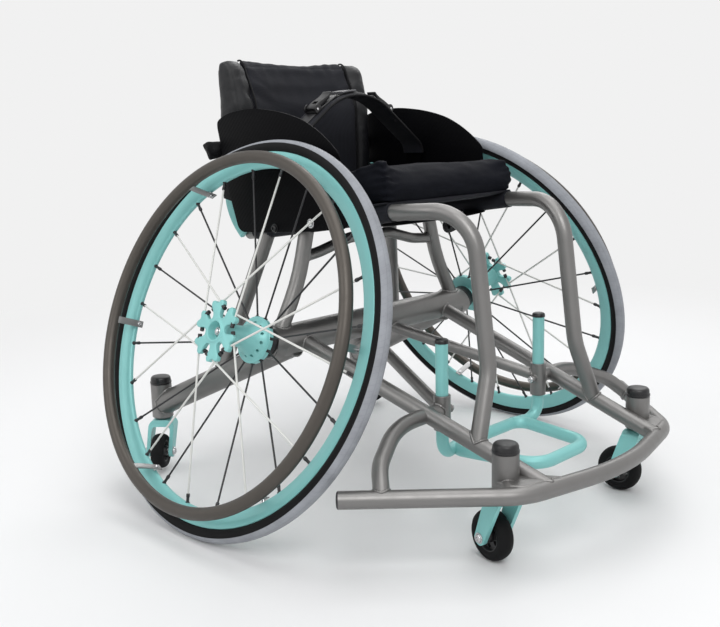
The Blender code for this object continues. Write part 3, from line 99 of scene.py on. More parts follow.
# Frame tubes, by radius
MAIN_TUBE = 0.0127
CAMBER_TUBE = 0.0255
REAR_TUBE = 0.02125
BRACE_TUBE = 0.0120
V_TUBE = 0.0100
CROSS_HEIGHT = 0.408
CROSS_TUBE = 0.0095
CAMBER_HEIGHT = 0.275
CAMBER_HALF = 0.2500
BOSS_RADIUS = 0.0252
BOSS_LENGTH = 0.024
BUMPER_HEIGHT = 0.120
BUMPER_CORNER = (0.1972, -0.4691, BUMPER_HEIGHT)
BUMPER_FRONT = (0.045, -0.5035, BUMPER_HEIGHT)
WING_END = (0.3740, -0.2860, BUMPER_HEIGHT)
RAIL_REAR = (0.1823, 0.0, CAMBER_HEIGHT)
RAIL_FRONT_X = 0.1515
GUSSET_TUBE = 0.0110
GUSSET_HEIGHT = 0.130
GUSSET_WEB = ((0.1660, -0.4180), (0.2030, -0.4200), (0.2075, -0.4520), (0.1972, -0.4680), (0.1270, -0.4850))
BOSS_TUBE = 0.0068
LEG_FOOT_Y = -0.359
SEAT_REAR = (0.154, 0.150, 0.4406)
SEAT_FRONT = (0.150, -0.190, 0.489)
SOCKET_X, SOCKET_Y, SOCKET_BASE, SOCKET_HEIGHT = 0.1292, -0.2673, 0.156, 0.0555
SOCKET_RADIUS = 0.0133
BRACE_RISE = 0.032
POST_RADIUS = 0.010
POST_TOP = 0.2925
LOOP_HEIGHT = 0.1135
CLAMP_RISE = 0.030

# Casters: stem place, housing base, housing height, wheel radius and lift off the floor
HOUSING_RADIUS = 0.0193
CASTERS = {
    "front": ((0.1842, -0.4268), 0.115, 0.055, 0.038, 0.0),
    "rear": ((0.2605, 0.3021), 0.096, 0.064, 0.032, 0.006),
}
TRAIL = 0.029

SEAT_TILT = math.atan2(SEAT_FRONT[2] - SEAT_REAR[2], SEAT_REAR[1] - SEAT_FRONT[1])


# Camera, fitted to the two cambered wheels and the front bumper
CAMERA_SPOT = (-1.2181, -1.1758, 0.6176)
CAMERA_YAW = math.radians(45.2)
CAMERA_DIP = math.radians(11.043)
CAMERA_ROLL = math.radians(-1.503)
CAMERA_LENS = 47.695


def add_camera():
    ahead = Vector((
        math.sin(CAMERA_YAW) * math.cos(CAMERA_DIP), math.cos(CAMERA_YAW) * math.cos(CAMERA_DIP),
        -math.sin(CAMERA_DIP),
    ))
    right = Vector((math.cos(CAMERA_YAW), -math.sin(CAMERA_YAW), 0))
    up = right.cross(ahead)
    c, s = math.cos(CAMERA_ROLL), math.sin(CAMERA_ROLL)
    turn = Matrix((right * c + up * s, up * c - right * s, -ahead)).transposed().to_4x4()
    camera = bpy.data.objects.new("camera", bpy.data.cameras.new("camera"))
    camera.data.lens = CAMERA_LENS
    camera.data.sensor_width = 36.0
    camera.data.clip_start = 0.05
    bpy.context.scene.collection.objects.link(camera)
    camera.matrix_world = CHAIR @ Matrix.Translation(CAMERA_SPOT) @ turn
    bpy.context.scene.camera = camera


def add_light(name, spot, aim_at, size, power):
    light = bpy.data.lights.new(name, "AREA")
    light.shape = "RECTANGLE"
    light.size, light.size_y = size
    light.energy = power
    obj = bpy.data.objects.new(name, light)
    bpy.context.scene.collection.objects.link(obj)
    obj.location = spot
    obj.rotation_mode = "QUATERNION"
    obj.rotation_quaternion = (Vector(aim_at) - Vector(spot)).to_track_quat("-Z", "Y")


# Node materials


def node(tree, kind, inputs=None, **settings):
    made = tree.nodes.new(kind)
    for key, value in settings.items():
        setattr(made, key, value)
    for key, value in (inputs or {}).items():
        if isinstance(value, bpy.types.NodeSocket):
            tree.links.new(value, made.inputs[key])
        else:
            made.inputs[key].default_value = value
    return made


def shader_of(name, roughness, metallic=0.0, **sockets):
    look = bpy.data.materials.new(name)
    look.use_nodes = True
    shader = look.node_tree.nodes["Principled BSDF"]
    shader.inputs["Roughness"].default_value = roughness
    shader.inputs["Metallic"].default_value = metallic
    for key, value in sockets.items():
        shader.inputs[key.replace("_", " ")].default_value = value
    return look, look.node_tree, shader


def place_of(tree, scale=(1, 1, 1)):
    coords = node(tree, "ShaderNodeTexCoord")
    return node(tree, "ShaderNodeMapping", {"Vector": coords.outputs["Object"], "Scale": scale}).outputs[0]


def noise_of(tree, where, scale, detail=2.0, roughness=0.5, distortion=0.0):
    return node(tree, "ShaderNodeTexNoise", {
        "Vector": where, "Scale": scale, "Detail": detail, "Roughness": roughness, "Distortion": distortion,
    }).outputs["Fac"]


def ramp_of(tree, value, stops):
    made = node(tree, "ShaderNodeValToRGB", {"Fac": value})
    ramp = made.color_ramp
    while len(ramp.elements) < len(stops):
        ramp.elements.new(0.5)
    for element, (spot, colour) in zip(ramp.elements, stops):
        element.position = spot
        element.color = (*colour, 1.0) if hasattr(colour, "__len__") else (colour, colour, colour, 1.0)
    return made.outputs["Color"]


def maths(tree, operation, a, b=0.0):
    return node(tree, "ShaderNodeMath", {0: a, 1: b}, operation=operation).outputs[0]


def range_of(tree, value, low, high, to_low, to_high):
    return node(tree, "ShaderNodeMapRange", {
        "Value": value, "From Min": low, "From Max": high, "To Min": to_low, "To Max": to_high,
    }).outputs[0]


def bump_on(tree, shader, height, distance, strength=1.0):
    made = node(tree, "ShaderNodeBump", {"Height": height, "Distance": distance, "Strength": strength})
    tree.links.new(made.outputs["Normal"], shader.inputs["Normal"])


def shaded(colour, share):
    return tuple(channel * share for channel in colour)


def painted(name, colour, roughness, metallic=0.0, grain=900.0, depth=0.00003, spread=0.10, **sockets):
    """Satin paint or blasted metal: fine grain, slow colour drift and uneven gloss."""
    look, tree, shader = shader_of(name, roughness, metallic, **sockets)
    where = place_of(tree)
    slow = noise_of(tree, where, 9.0, 3.0)
    colour_of = ramp_of(tree, slow, [(0.3, shaded(colour, 1 - spread)), (0.7, shaded(colour, 1 + spread * 0.6))])
    tree.links.new(colour_of, shader.inputs["Base Color"])
    fine = noise_of(tree, where, grain, 2.0)
    tree.links.new(
        range_of(tree, noise_of(tree, where, 60.0, 3.0), 0.3, 0.7, roughness - 0.05, roughness + 0.06),
        shader.inputs["Roughness"],
    )
    bump_on(tree, shader, fine, depth)
    return look


def woven(name, colour, thread, roughness, depth, sheen, spread, wrinkles=0.0, shine=0.25):
    """Plain-weave cloth: threads over and under each other, lint and slow shading."""
    look, tree, shader = shader_of(
        name, roughness, 0.0, Sheen_Weight=sheen, Sheen_Roughness=0.45, Specular_IOR_Level=shine
    )
    where = place_of(tree)
    waves = []
    for axis in ("X", "Y", "Z"):
        wave = node(tree, "ShaderNodeTexWave", {
            "Vector": where, "Scale": 1.0 / thread / 3.2, "Distortion": 0.35, "Detail": 1.0, "Detail Scale": 2.0,
        }, wave_type="BANDS", bands_direction=axis)
        waves.append(wave.outputs["Fac"])
    crossed = [maths(tree, "MULTIPLY", waves[m], waves[n]) for m, n in ((0, 2), (1, 2), (0, 1))]
    weave = maths(tree, "MAXIMUM", maths(tree, "MAXIMUM", crossed[0], crossed[1]), crossed[2])
    slow = noise_of(tree, where, 14.0, 4.0)
    tone = maths(tree, "ADD", maths(tree, "MULTIPLY", weave, 0.45), maths(tree, "MULTIPLY", slow, 0.75))
    colour_of = ramp_of(tree, tone, [(0.25, shaded(colour, 1 - spread)), (0.8, shaded(colour, 1 + spread))])
    tree.links.new(colour_of, shader.inputs["Base Color"])
    height = weave
    if wrinkles:
        folds = noise_of(tree, place_of(tree, (1.0, 1.0, 0.5)), 38.0, 3.0, 0.55, 0.8)
        height = maths(tree, "ADD", weave, maths(tree, "MULTIPLY", folds, wrinkles))
    bump_on(tree, shader, height, depth)
    return look


def leather(name, colour):
    look, tree, shader = shader_of(name, 0.42, 0.0, Specular_IOR_Level=0.34)
    where = place_of(tree)
    cells = node(
        tree, "ShaderNodeTexVoronoi", {"Vector": where, "Scale": 620.0, "Randomness": 1.0},
        feature="DISTANCE_TO_EDGE",
    ).outputs["Distance"]
    pores = range_of(tree, cells, 0.0, 0.16, 0.0, 1.0)
    creases = noise_of(tree, where, 55.0, 4.0, 0.6, 1.2)
    height = maths(tree, "ADD", maths(tree, "MULTIPLY", pores, 0.5), maths(tree, "MULTIPLY", creases, 2.2))
    colour_of = ramp_of(
        tree, noise_of(tree, where, 20.0, 4.0), [(0.3, shaded(colour, 0.7)), (0.72, shaded(colour, 1.45))]
    )
    tree.links.new(colour_of, shader.inputs["Base Color"])
    rough = range_of(tree, noise_of(tree, where, 90.0, 3.0), 0.3, 0.7, 0.36, 0.52)
    tree.links.new(rough, shader.inputs["Roughness"])
    bump_on(tree, shader, height, 0.00022)
    return look


def carbon(name, colour):
    """Twill laminate under a matt lacquer, its tows 2 mm wide."""
    look, tree, shader = shader_of(name, 0.60, 0.0, Specular_IOR_Level=0.05)
    coords = node(tree, "ShaderNodeTexCoord")
    parts = node(tree, "ShaderNodeSeparateXYZ", {"Vector": coords.outputs["Object"]})
    tow = 0.0022
    along = maths(tree, "DIVIDE", parts.outputs["Y"], tow)
    up = maths(tree, "DIVIDE", parts.outputs["Z"], tow)
    step = maths(tree, "ADD", maths(tree, "FLOOR", along), maths(tree, "FLOOR", up))
    phase = maths(tree, "FRACT", maths(tree, "MULTIPLY", step, 0.25))
    over = maths(tree, "GREATER_THAN", phase, 0.4)
    mixed = node(tree, "ShaderNodeMix", {
        0: over, 6: (*shaded(colour, 0.85), 1), 7: (*shaded(colour, 1.2), 1),
    }, data_type="RGBA").outputs[2]
    tree.links.new(mixed, shader.inputs["Base Color"])
    tree.links.new(range_of(tree, over, 0.0, 1.0, 0.52, 0.44), shader.inputs["Roughness"])
    fine = noise_of(tree, coords.outputs["Object"], 700.0, 2.0)
    bump_on(tree, shader, maths(tree, "ADD", over, maths(tree, "MULTIPLY", fine, 0.4)), 0.00004)
    return look


def rubber(name, colour, dust=0.25, scale=240.0, depth=0.00012):
    look, tree, shader = shader_of(name, 0.70, 0.0, Specular_IOR_Level=0.18)
    where = place_of(tree)
    mottled = noise_of(tree, where, 26.0, 4.0)
    colour_of = ramp_of(tree, mottled, [(0.35, shaded(colour, 1 - dust)), (0.7, shaded(colour, 1 + dust))])
    tree.links.new(colour_of, shader.inputs["Base Color"])
    bump_on(tree, shader, noise_of(tree, where, scale, 3.0, 0.6), depth)
    return look


def tread_rubber(name, colour):
    """The tyre's tread: fine sipes across it and two grooves round it, in the wheel's own frame."""
    look, tree, shader = shader_of(name, 0.62, 0.0, Specular_IOR_Level=0.4)
    coords = node(tree, "ShaderNodeTexCoord").outputs["Object"]
    x, y, z = node(tree, "ShaderNodeSeparateXYZ", {"Vector": coords}).outputs
    off_middle = maths(tree, "ABSOLUTE", z)
    skewed = maths(tree, "ADD", maths(tree, "ARCTAN2", y, x), maths(tree, "MULTIPLY", off_middle, 2.2))
    phase = maths(tree, "FRACT", maths(tree, "MULTIPLY", skewed, SIPES / math.tau))
    to_sipe = maths(tree, "ABSOLUTE", maths(tree, "SUBTRACT", phase, 0.5))
    to_groove = maths(tree, "ABSOLUTE", maths(tree, "SUBTRACT", off_middle, GROOVE_OFFSET))
    sipe = range_of(tree, to_sipe, 0.0, 0.07, 0.0, 1.0)
    groove = range_of(tree, to_groove, 0.0002, 0.0007, 0.0, 1.0)
    height = node(tree, "ShaderNodeClamp", {"Value": maths(tree, "MINIMUM", sipe, groove)}).outputs[0]
    mottled = noise_of(tree, coords, 34.0, 5.0, 0.6)
    # The sipes and grooves are painted darker than the tread around them: painted shade in the cuts, added to the
    # mottling.
    tone = maths(tree, "ADD", maths(tree, "MULTIPLY", height, 0.15), maths(tree, "MULTIPLY", mottled, 0.85))
    stops = [(0.15, shaded(colour, 0.62)), (0.55, shaded(colour, 0.92)), (0.9, shaded(colour, 1.15))]
    tree.links.new(ramp_of(tree, tone, stops), shader.inputs["Base Color"])
    grit = maths(tree, "MULTIPLY", noise_of(tree, coords, 420.0, 3.0), 0.25)
    bump_on(tree, shader, maths(tree, "ADD", height, grit), 0.00012)
    return look


TITANIUM = (0.222, 0.217, 0.212)
MINT_COLOUR = (0.245, 0.590, 0.572)
BRONZE = (0.088, 0.079, 0.070)
LOOKS = {
    "frame": painted("frame_satin", TITANIUM, 0.40, 0.85, grain=1400.0, depth=0.00002, spread=0.07),
    "weld": painted("weld_bead", shaded(TITANIUM, 1.05), 0.36, 0.9, grain=500.0, depth=0.00006, spread=0.15),
    "mint": painted("mint_satin", MINT_COLOUR, 0.38, 0.15, grain=1100.0, depth=0.00002, spread=0.05),
    "push": painted("push_ring_anodised", BRONZE, 0.42, 0.75, grain=1600.0, depth=0.00001, spread=0.05),
    "side": rubber("tyre_sidewall", (0.005, 0.005, 0.0055)),
    "tread": tread_rubber("tyre_tread", (0.310, 0.324, 0.352)),
    "caster": rubber("caster_rubber", (0.005, 0.005, 0.0055), 0.3, 300.0, 0.00010),
    "white": painted("white_fibre", (0.72, 0.72, 0.69), 0.45, 0.0, grain=2000.0, depth=0.00002, spread=0.05),
    "black": painted("black_fibre", (0.016, 0.016, 0.018), 0.42, 0.0, grain=2000.0, depth=0.00002, spread=0.15),
    "plastic": painted("black_moulding", (0.008, 0.008, 0.009), 0.36, 0.0, grain=700.0, depth=0.00005, spread=0.15),
    "strap": painted("brushed_strap", (0.36, 0.36, 0.36), 0.42, 0.9, grain=700.0, depth=0.00003, spread=0.10),
    "steel": painted("bright_steel", (0.60, 0.60, 0.61), 0.24, 1.0, grain=1500.0, depth=0.00001, spread=0.06),
    "cloth": woven("seat_cloth", (0.0074, 0.0080, 0.0120), 0.0011, 0.74, 0.00010, 0.02, 0.30, 2.4),
    "webbing": woven("webbing", (0.0030, 0.0030, 0.0040), 0.0016, 0.66, 0.00025, 0.01, 0.4),
    "seat": woven("cushion_cloth", (0.0044, 0.0050, 0.0080), 0.0011, 0.80, 0.00010, 0.0, 0.30, 2.4, 0.10),
    "wing": woven("belt_wing", (0.0012, 0.0012, 0.0015), 0.0016, 0.80, 0.0001, 0.0, 0.10, shine=0.03),
    "loop": painted("grey_loop", (0.085, 0.085, 0.092), 0.50, 0.0, grain=700.0, depth=0.00006, spread=0.12),
    "leather": leather("bolster_leather", (0.0046, 0.0050, 0.0066)),
    "carbon": carbon("guard_laminate", (0.0016, 0.0016, 0.0022)),
}


# Shapes


def object_of(name, verts, faces):
    mesh = bpy.data.meshes.new(name)
    mesh.from_pydata([tuple(vert) for vert in verts], [], faces)
    mesh.update()
    obj = bpy.data.objects.new(name, mesh)
    bpy.context.scene.collection.objects.link(obj)
    return obj


def moved(obj, matrix):
    obj.data.transform(matrix)
    return obj


def settled(obj):
    """The object's mesh with its modifiers in it."""
    bpy.context.view_layer.update()
    evaluated = obj.evaluated_get(bpy.context.evaluated_depsgraph_get())
    mesh = bpy.data.meshes.new_from_object(evaluated)
    obj.modifiers.clear()
    old_mesh, obj.data = obj.data, mesh
    bpy.data.meshes.remove(old_mesh)
    return obj


def combine(base, helpers, operation):
    for helper in helpers:
        step = base.modifiers.new("shape", "BOOLEAN")
        step.operation = operation
        step.object = helper
        step.solver = "EXACT"
    settled(base)
    for helper in helpers:
        bpy.data.objects.remove(helper, do_unlink=True)
    return base


def merged(parts):
    """Several closed pieces in one object, each keeping its own materials."""
    base = parts[0]
    graph = bmesh.new()
    looks = []
    for part in parts:
        start = len(graph.faces)
        graph.from_mesh(part.data)
        graph.faces.ensure_lookup_table()
        places = []
        for look in part.data.materials:
            if look not in looks:
                looks.append(look)
            places.append(looks.index(look))
        for face in graph.faces[start:]:
            face.material_index = places[face.material_index] if places else 0
    mesh = bpy.data.meshes.new(base.name)
    graph.to_mesh(mesh)
    graph.free()
    for look in looks:
        mesh.materials.append(look)
    base.data = mesh
    for part in parts[1:]:
        bpy.data.objects.remove(part, do_unlink=True)
    return base


def bevelled(obj, width, segments=2, angle=math.radians(40)):
    step = obj.modifiers.new("edges", "BEVEL")
    step.width = width
    step.segments = segments
    step.limit_method = "ANGLE"
    step.angle_limit = angle
    return settled(obj)


def bent(corners, step=math.radians(6.0)):
    """Points along straight runs joined by arcs. A corner is a point and its bend's radius."""
    spots = [Vector(point) for point, _ in corners]
    path = []
    for index, (point, radius) in enumerate(corners):
        here = Vector(point)
        if radius == 0.0:
            path.append(here)
            continue
        before, after = spots[index - 1], spots[(index + 1) % len(spots)]
        into, out = (here - before).normalized(), (after - here).normalized()
        turn = into.angle(out)
        reach = min((here - before).length, (after - here).length)
        run = min(radius * math.tan(turn / 2), reach * 0.49)
        centre = here + (out - into).normalized() * run / math.tan(turn / 2) / math.cos(turn / 2)
        count = max(1, math.ceil(turn / step))
        spoke = here - into * run - centre
        axis = into.cross(out).normalized()
        path += [centre + Matrix.Rotation(turn * k / count, 3, axis) @ spoke for k in range(count + 1)]
    return path


def circle(radius, sides):
    turns = [math.tau * k / sides for k in range(sides)]
    return [(radius * math.cos(turn), radius * math.sin(turn)) for turn in turns]


def swept(points, section, closed=False, up=None, scales=None):
    """A section of (across, up) points carried along a path with the least twist."""
    points = [Vector(point) for point in points]
    count = len(points)
    along = []
    for k in range(count):
        before = points[k - 1] if closed or k else points[k]
        after = points[(k + 1) % count] if closed or k < count - 1 else points[k]
        along.append((after - before).normalized())
    rise = Vector(up) if up else Vector((0, 0, 1))
    if abs(rise.dot(along[0])) > 0.95:
        rise = Vector((0, 1, 0))
    verts = []
    side = along[0].cross(rise).normalized()
    for k, point in enumerate(points):
        if up:
            side = along[k].cross(Vector(up)).normalized()
        else:
            side = (side - along[k] * side.dot(along[k])).normalized()
        lift = side.cross(along[k])
        scale = scales[k] if scales else 1.0
        verts += [point + side * u * scale + lift * v * scale for u, v in section]
    size = len(section)
    faces = []
    for k in range(count if closed else count - 1):
        a, b = k * size, ((k + 1) % count) * size
        faces += [(a + m, a + (m + 1) % size, b + (m + 1) % size, b + m) for m in range(size)]
    if not closed:
        faces.append(tuple(range(size))[::-1])
        faces.append(tuple(range((count - 1) * size, count * size)))
    return outward(object_of("swept", verts, faces))


def outward(obj):
    graph = bmesh.new()
    graph.from_mesh(obj.data)
    bmesh.ops.recalc_face_normals(graph, faces=graph.faces)
    graph.to_mesh(obj.data)
    graph.free()
    return obj


def tube(points, radius, sides=28, closed=False):
    return swept(points, circle(radius, sides), closed)


def lathe(profile, steps, ring=False, looks=None):
    """A profile of (radius, height) turned about Z, from axis to axis or as a closed ring.

    looks gives the material index of each of the profile's runs."""
    verts, starts = [], []
    for radius, height in profile:
        starts.append(len(verts))
        if radius < 1e-7:
            verts.append(Vector((0, 0, height)))
        else:
            verts += [Vector((x, y, height)) for x, y in circle(radius, steps)]
    faces, indices = [], []
    count = len(profile)
    for m in range(count if ring else count - 1):
        n = (m + 1) % count
        a_point, b_point = profile[m][0] < 1e-7, profile[n][0] < 1e-7
        for k in range(steps):
            j = (k + 1) % steps
            if a_point:
                face = (starts[m], starts[n] + j, starts[n] + k)
            elif b_point:
                face = (starts[m] + k, starts[m] + j, starts[n])
            else:
                face = (starts[m] + k, starts[m] + j, starts[n] + j, starts[n] + k)
            faces.append(face)
            indices.append(looks[m] if looks else 0)
    obj = object_of("lathe", verts, faces)
    for polygon, index in zip(obj.data.polygons, indices):
        polygon.material_index = index
    return outward(obj)


def aim(start, end):
    start, end = Vector(start), Vector(end)
    return Matrix.Translation(start) @ (end - start).to_track_quat("Z", "Y").to_matrix().to_4x4()


def rod(start, end, radius, steps=28, edge=0.0):
    length = (Vector(end) - Vector(start)).length
    wall = [(radius, 0), (radius, length)]
    if edge:
        wall = [(radius - edge, 0), (radius, edge), (radius, length - edge), (radius - edge, length)]
    return moved(lathe([(0, 0)] + wall + [(0, length)], steps), aim(start, end))


def block(low, high, edge=0.0, segments=2):
    low, high = Vector(low), Vector(high)
    corners = [(x, y, z) for z in (low.z, high.z) for y in (low.y, high.y) for x in (low.x, high.x)]
    faces = [(0, 2, 3, 1), (4, 5, 7, 6), (0, 1, 5, 4), (2, 6, 7, 3), (0, 4, 6, 2), (1, 3, 7, 5)]
    obj = outward(object_of("block", corners, faces))
    return bevelled(obj, edge, segments) if edge else obj


def plate(outline, thick, matrix=Matrix.Identity(4), edge=0.0, segments=2):
    """A flat outline in X and Y, extruded to both sides of its plane, then placed."""
    count = len(outline)
    verts = [(x, y, z) for z in (-thick / 2, thick / 2) for x, y in outline]
    faces = [tuple(range(count)), tuple(range(count, 2 * count))]
    faces += [(k, (k + 1) % count, count + (k + 1) % count, count + k) for k in range(count)]
    obj = outward(object_of("plate", verts, faces))
    if edge:
        bevelled(obj, edge, segments, math.radians(60))
    return moved(obj, matrix)


# Turns that stand a flat outline up, so that its X and Y become Y and Z, or X and Z
SIDEWAYS = Matrix(((0, 0, 1, 0), (1, 0, 0, 0), (0, 1, 0, 0), (0, 0, 0, 1)))
UPRIGHT = Matrix.Rotation(math.pi / 2, 4, "X")


def arc(centre, radius, start, end, count):
    """Points of a flat arc, in degrees."""
    turns = [math.radians(start + (end - start) * k / count) for k in range(count + 1)]
    return [(centre[0] + radius * math.cos(turn), centre[1] + radius * math.sin(turn)) for turn in turns]


def smooth_line(spots, count, closed=False):
    """A Catmull-Rom curve through flat or solid points."""
    spots = [Vector(spot) for spot in spots]
    size = len(spots)
    found = []
    for k in range(size if closed else size - 1):
        p = [spots[(k + d) % size] if closed else spots[min(max(k + d, 0), size - 1)] for d in (-1, 0, 1, 2)]
        for m in range(count):
            t = m / count
            found.append((
                p[1] * 2 + (p[2] - p[0]) * t + (p[0] * 2 - p[1] * 5 + p[2] * 4 - p[3]) * t * t
                + (p[1] * 3 - p[0] - p[2] * 3 + p[3]) * t ** 3
            ) / 2)
    if not closed:
        found.append(spots[-1])
    return found


def dressed(obj, *looks):
    for look in looks:
        obj.data.materials.append(LOOKS[look])
    return obj


def finish(obj, name, body, slot, nodes=(), angle=38.0, matrix=CHAIR):
    """Names a piece, smooths its shading, places it, ties it to its body and hides the CAD nodes it replaces. The slot
    argument is not used.
    """
    obj.name = name
    obj.data.name = name
    obj.data.shade_smooth()
    obj.data.set_sharp_from_angle(angle=math.radians(angle))
    obj.matrix_world = matrix
    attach(obj, body)
    if nodes:
        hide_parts(*nodes)
    return obj


def mirrored(point, side):
    return Vector((point[0] * side, point[1], point[2]))


def both_ways(side, path):
    return [mirrored(point, side) for point in path]


def both_halves(half):
    """A bent path's corners from one end to the middle, and mirrored on to the other end."""
    return half + [(mirrored(point, -1), radius) for point, radius in reversed(half)]


def both_faces(half):
    """A turned profile's upper half, and its mirror image below."""
    return half + [(radius, -height) for radius, height in reversed(half)]


def name_of(side):
    return "left" if side > 0 else "right"


def wheel_frame(side):
    """A frame at the wheel's centre: Z out along the axle, and X, Y in the wheel's plane."""
    out = Vector((side * math.cos(WHEEL_CAMBER), 0, math.sin(WHEEL_CAMBER)))
    up = Vector((-side * math.sin(WHEEL_CAMBER), 0, math.cos(WHEEL_CAMBER)))
    ahead = Vector((0, -1, 0))
    across, along = (up, ahead) if side > 0 else (ahead, up)
    turn = Matrix((across, along, out)).transposed().to_4x4()
    return Matrix.Translation((side * WHEEL_HALF_TRACK, 0, WHEEL_HEIGHT)) @ turn


def in_wheel(side, angle):
    """The local angle of a direction given from straight ahead, upwards."""
    return math.pi / 2 - angle if side > 0 else angle


def polar(radius, angle, height):
    return Vector((radius * math.cos(angle), radius * math.sin(angle), height))


def bolt_head(radius, thick, socket=0.45):
    """A button head with a hex socket, standing on z = 0."""
    profile = [(0, thick * 0.45), (radius * socket, thick * 0.45), (radius * socket, thick)]
    profile += [(radius * (0.62 + 0.38 * math.sin(t)), thick * (0.35 + 0.65 * math.cos(t))) for t in (0.3, 0.8, 1.25)]
    profile += [(radius, thick * 0.2), (radius, 0), (0, 0)]
    return lathe(profile, 24)


# Weld beads


def distance_to(path, point):
    nearest = 1e9
    for a, b in zip(path, path[1:]):
        run = b - a
        share = max(0.0, min(1.0, (point - a).dot(run) / run.length_squared))
        nearest = min(nearest, (a + run * share - point).length)
    return nearest


def weld(path, radius, target, target_radius, bead=0.0021, count=72):
    """A rippled bead where the tube that starts at path[0] leaves the target tube."""
    start, onward = Vector(path[0]), (Vector(path[1]) - Vector(path[0])).normalized()
    target = [Vector(point) for point in target]
    side = onward.orthogonal().normalized()
    other = onward.cross(side)
    points, scales = [], []
    for k in range(count):
        turn = math.tau * k / count
        edge = start + (side * math.cos(turn) + other * math.sin(turn)) * radius
        low, high = 0.0, 0.12
        for _ in range(22):
            middle = (low + high) / 2
            if distance_to(target, edge + onward * middle) < target_radius:
                low = middle
            else:
                high = middle
        points.append(edge + onward * low)
        scales.append(1.0 + 0.16 * math.sin(turn * round(math.tau * radius / 0.0032)))
    return swept(points, circle(bead, 8), closed=True, scales=scales)


# Main wheels


def tyre():
    middle = WHEEL_RADIUS - TYRE_SECTION
    foot = math.asin((middle - RIM_SEAT - 0.0003) / TYRE_SECTION)
    count = 28
    sweep = [math.pi / 2 + foot - (math.pi + 2 * foot) * k / count for k in range(count + 1)]
    profile, looks = [], []
    for turn in sweep:
        profile.append((middle + TYRE_SECTION * math.cos(turn), TYRE_SECTION * math.sin(turn)))
        looks.append(1 if abs(turn) < math.radians(68) else 0)
    looks[-1] = 0
    return dressed(lathe(profile, 160, ring=True, looks=looks), "side", "tread")


def rim():
    """A deep V with a brake face, a soft shoulder and a rounded nose."""
    half = [
        (RIM_SEAT, RIM_HALF - 0.0010), (RIM_SEAT - 0.0008, RIM_HALF), (RIM_SEAT - 0.0085, RIM_HALF),
        (RIM_SEAT - 0.0105, RIM_HALF - 0.0006), (RIM_SEAT - 0.018, RIM_HALF - 0.0028),
        (RIM_NOSE + 0.0032, NOSE_HALF + 0.0014), (RIM_NOSE + 0.0010, NOSE_HALF), (RIM_NOSE, NOSE_HALF * 0.5),
    ]
    return dressed(lathe(both_faces(half), 160, ring=True), "mint")


def spoke_lines(side, white):
    """Each spoke's ends at the hub and at the rim's nose. The white ones cross by turns."""
    lines = []
    for k in range(SPOKES):
        way = (-1) ** k
        turn = SPOKE_ANGLE + SPOKE_STEP * (k if white else k + 0.5)
        if white:
            height = SPOKE_HEAD_HEIGHT + 0.0014 * way
            start = polar(SPOKE_HEAD_RADIUS, in_wheel(side, turn - SPOKE_LEAN * way), height)
        else:
            start = polar(FLANGE_RADIUS - 0.0010, in_wheel(side, turn), FLANGE_OUTER - FLANGE_THICK / 2)
        lines.append((start, polar(RIM_NOSE, in_wheel(side, turn), 0)))
    return lines


def nipples(lines):
    """Black nipples at the rim's nose, in line with each spoke."""
    profile = [
        (0, 0), (0.0034, 0), (0.0036, 0.0010), (0.0034, 0.0026), (0.0024, 0.0034), (0.0024, 0.0100),
        (0.0029, 0.0108), (0.0029, 0.0150), (0.0022, 0.0162), (0, 0.0162),
    ]
    return [moved(lathe(profile, 12), aim(end + (end - start) * 0.008, start)) for start, end in lines]


def spokes(lines, radius):
    return merged([rod(start, end + (end - start) * 0.010, radius, 10) for start, end in lines])


def head_seats(side, radius, back, ahead):
    """A short drum along each white spoke at its head, from back behind it to ahead of it."""
    drums = []
    for start, end in spoke_lines(side, True):
        along = (end - start).normalized()
        drums.append(rod(start - along * back, start + along * ahead, radius, 16, 0.0004))
    return drums


def flange_ends(side):
    """Each black spoke's moulded end: a small drum across the inner flange, with a collar round the spoke."""
    size = 0.0036
    profile = [
        (0, -size), (size * 0.62, -size), (size * 0.74, -size * 0.85), (size * 0.74, size * 0.85),
        (size * 0.62, size), (0, size),
    ]
    parts = []
    for start, end in spoke_lines(side, False):
        parts.append(moved(lathe(profile, 14), Matrix.Translation(start)))
        parts.append(rod(start, start + (end - start).normalized() * size * 1.6, size * 0.5, 12, size * 0.08))
    return parts


def star(side):
    """The hub's outer flange: arms with forked tips, and seats for the white spokes' heads."""
    flank = [
        (0.0472, 0.0130), (0.0446, 0.0098), (0.0408, 0.0080), (0.0345, 0.0076), (0.0294, 0.0072),
        (0.0247, 0.0050), (0.0228, 0.0018),
    ]
    tip = [(0.225, 0.0489), (0.165, 0.0490), (0.100, 0.0470), (0.040, 0.0446)]
    outline = []
    for k in range(STAR_ARMS):
        notch = SPOKE_ANGLE - SPOKE_STEP / 2 + math.tau * k / STAR_ARMS
        for reach, across in [(reach, -across) for reach, across in flank] + flank[::-1]:
            turn = in_wheel(side, notch + math.atan2(across, reach))
            outline.append(polar(math.hypot(reach, across), turn, 0).to_2d())
        for offset, radius in [(-offset, radius) for offset, radius in tip] + tip[::-1]:
            outline.append(polar(radius, in_wheel(side, notch + SPOKE_STEP + offset), 0).to_2d())
    middle = HUB_FACE - STAR_THICK / 2
    outline = smooth_line(outline, 2, closed=True)
    body = plate(outline, STAR_THICK, Matrix.Translation((0, 0, middle)), 0.0011, 3)
    hole = rod((0, 0, middle - 0.02), (0, 0, middle + 0.02), 0.0190, 48)
    return combine(body, [hole] + head_seats(side, 0.0038, 0.0070, 0.0024), "DIFFERENCE")


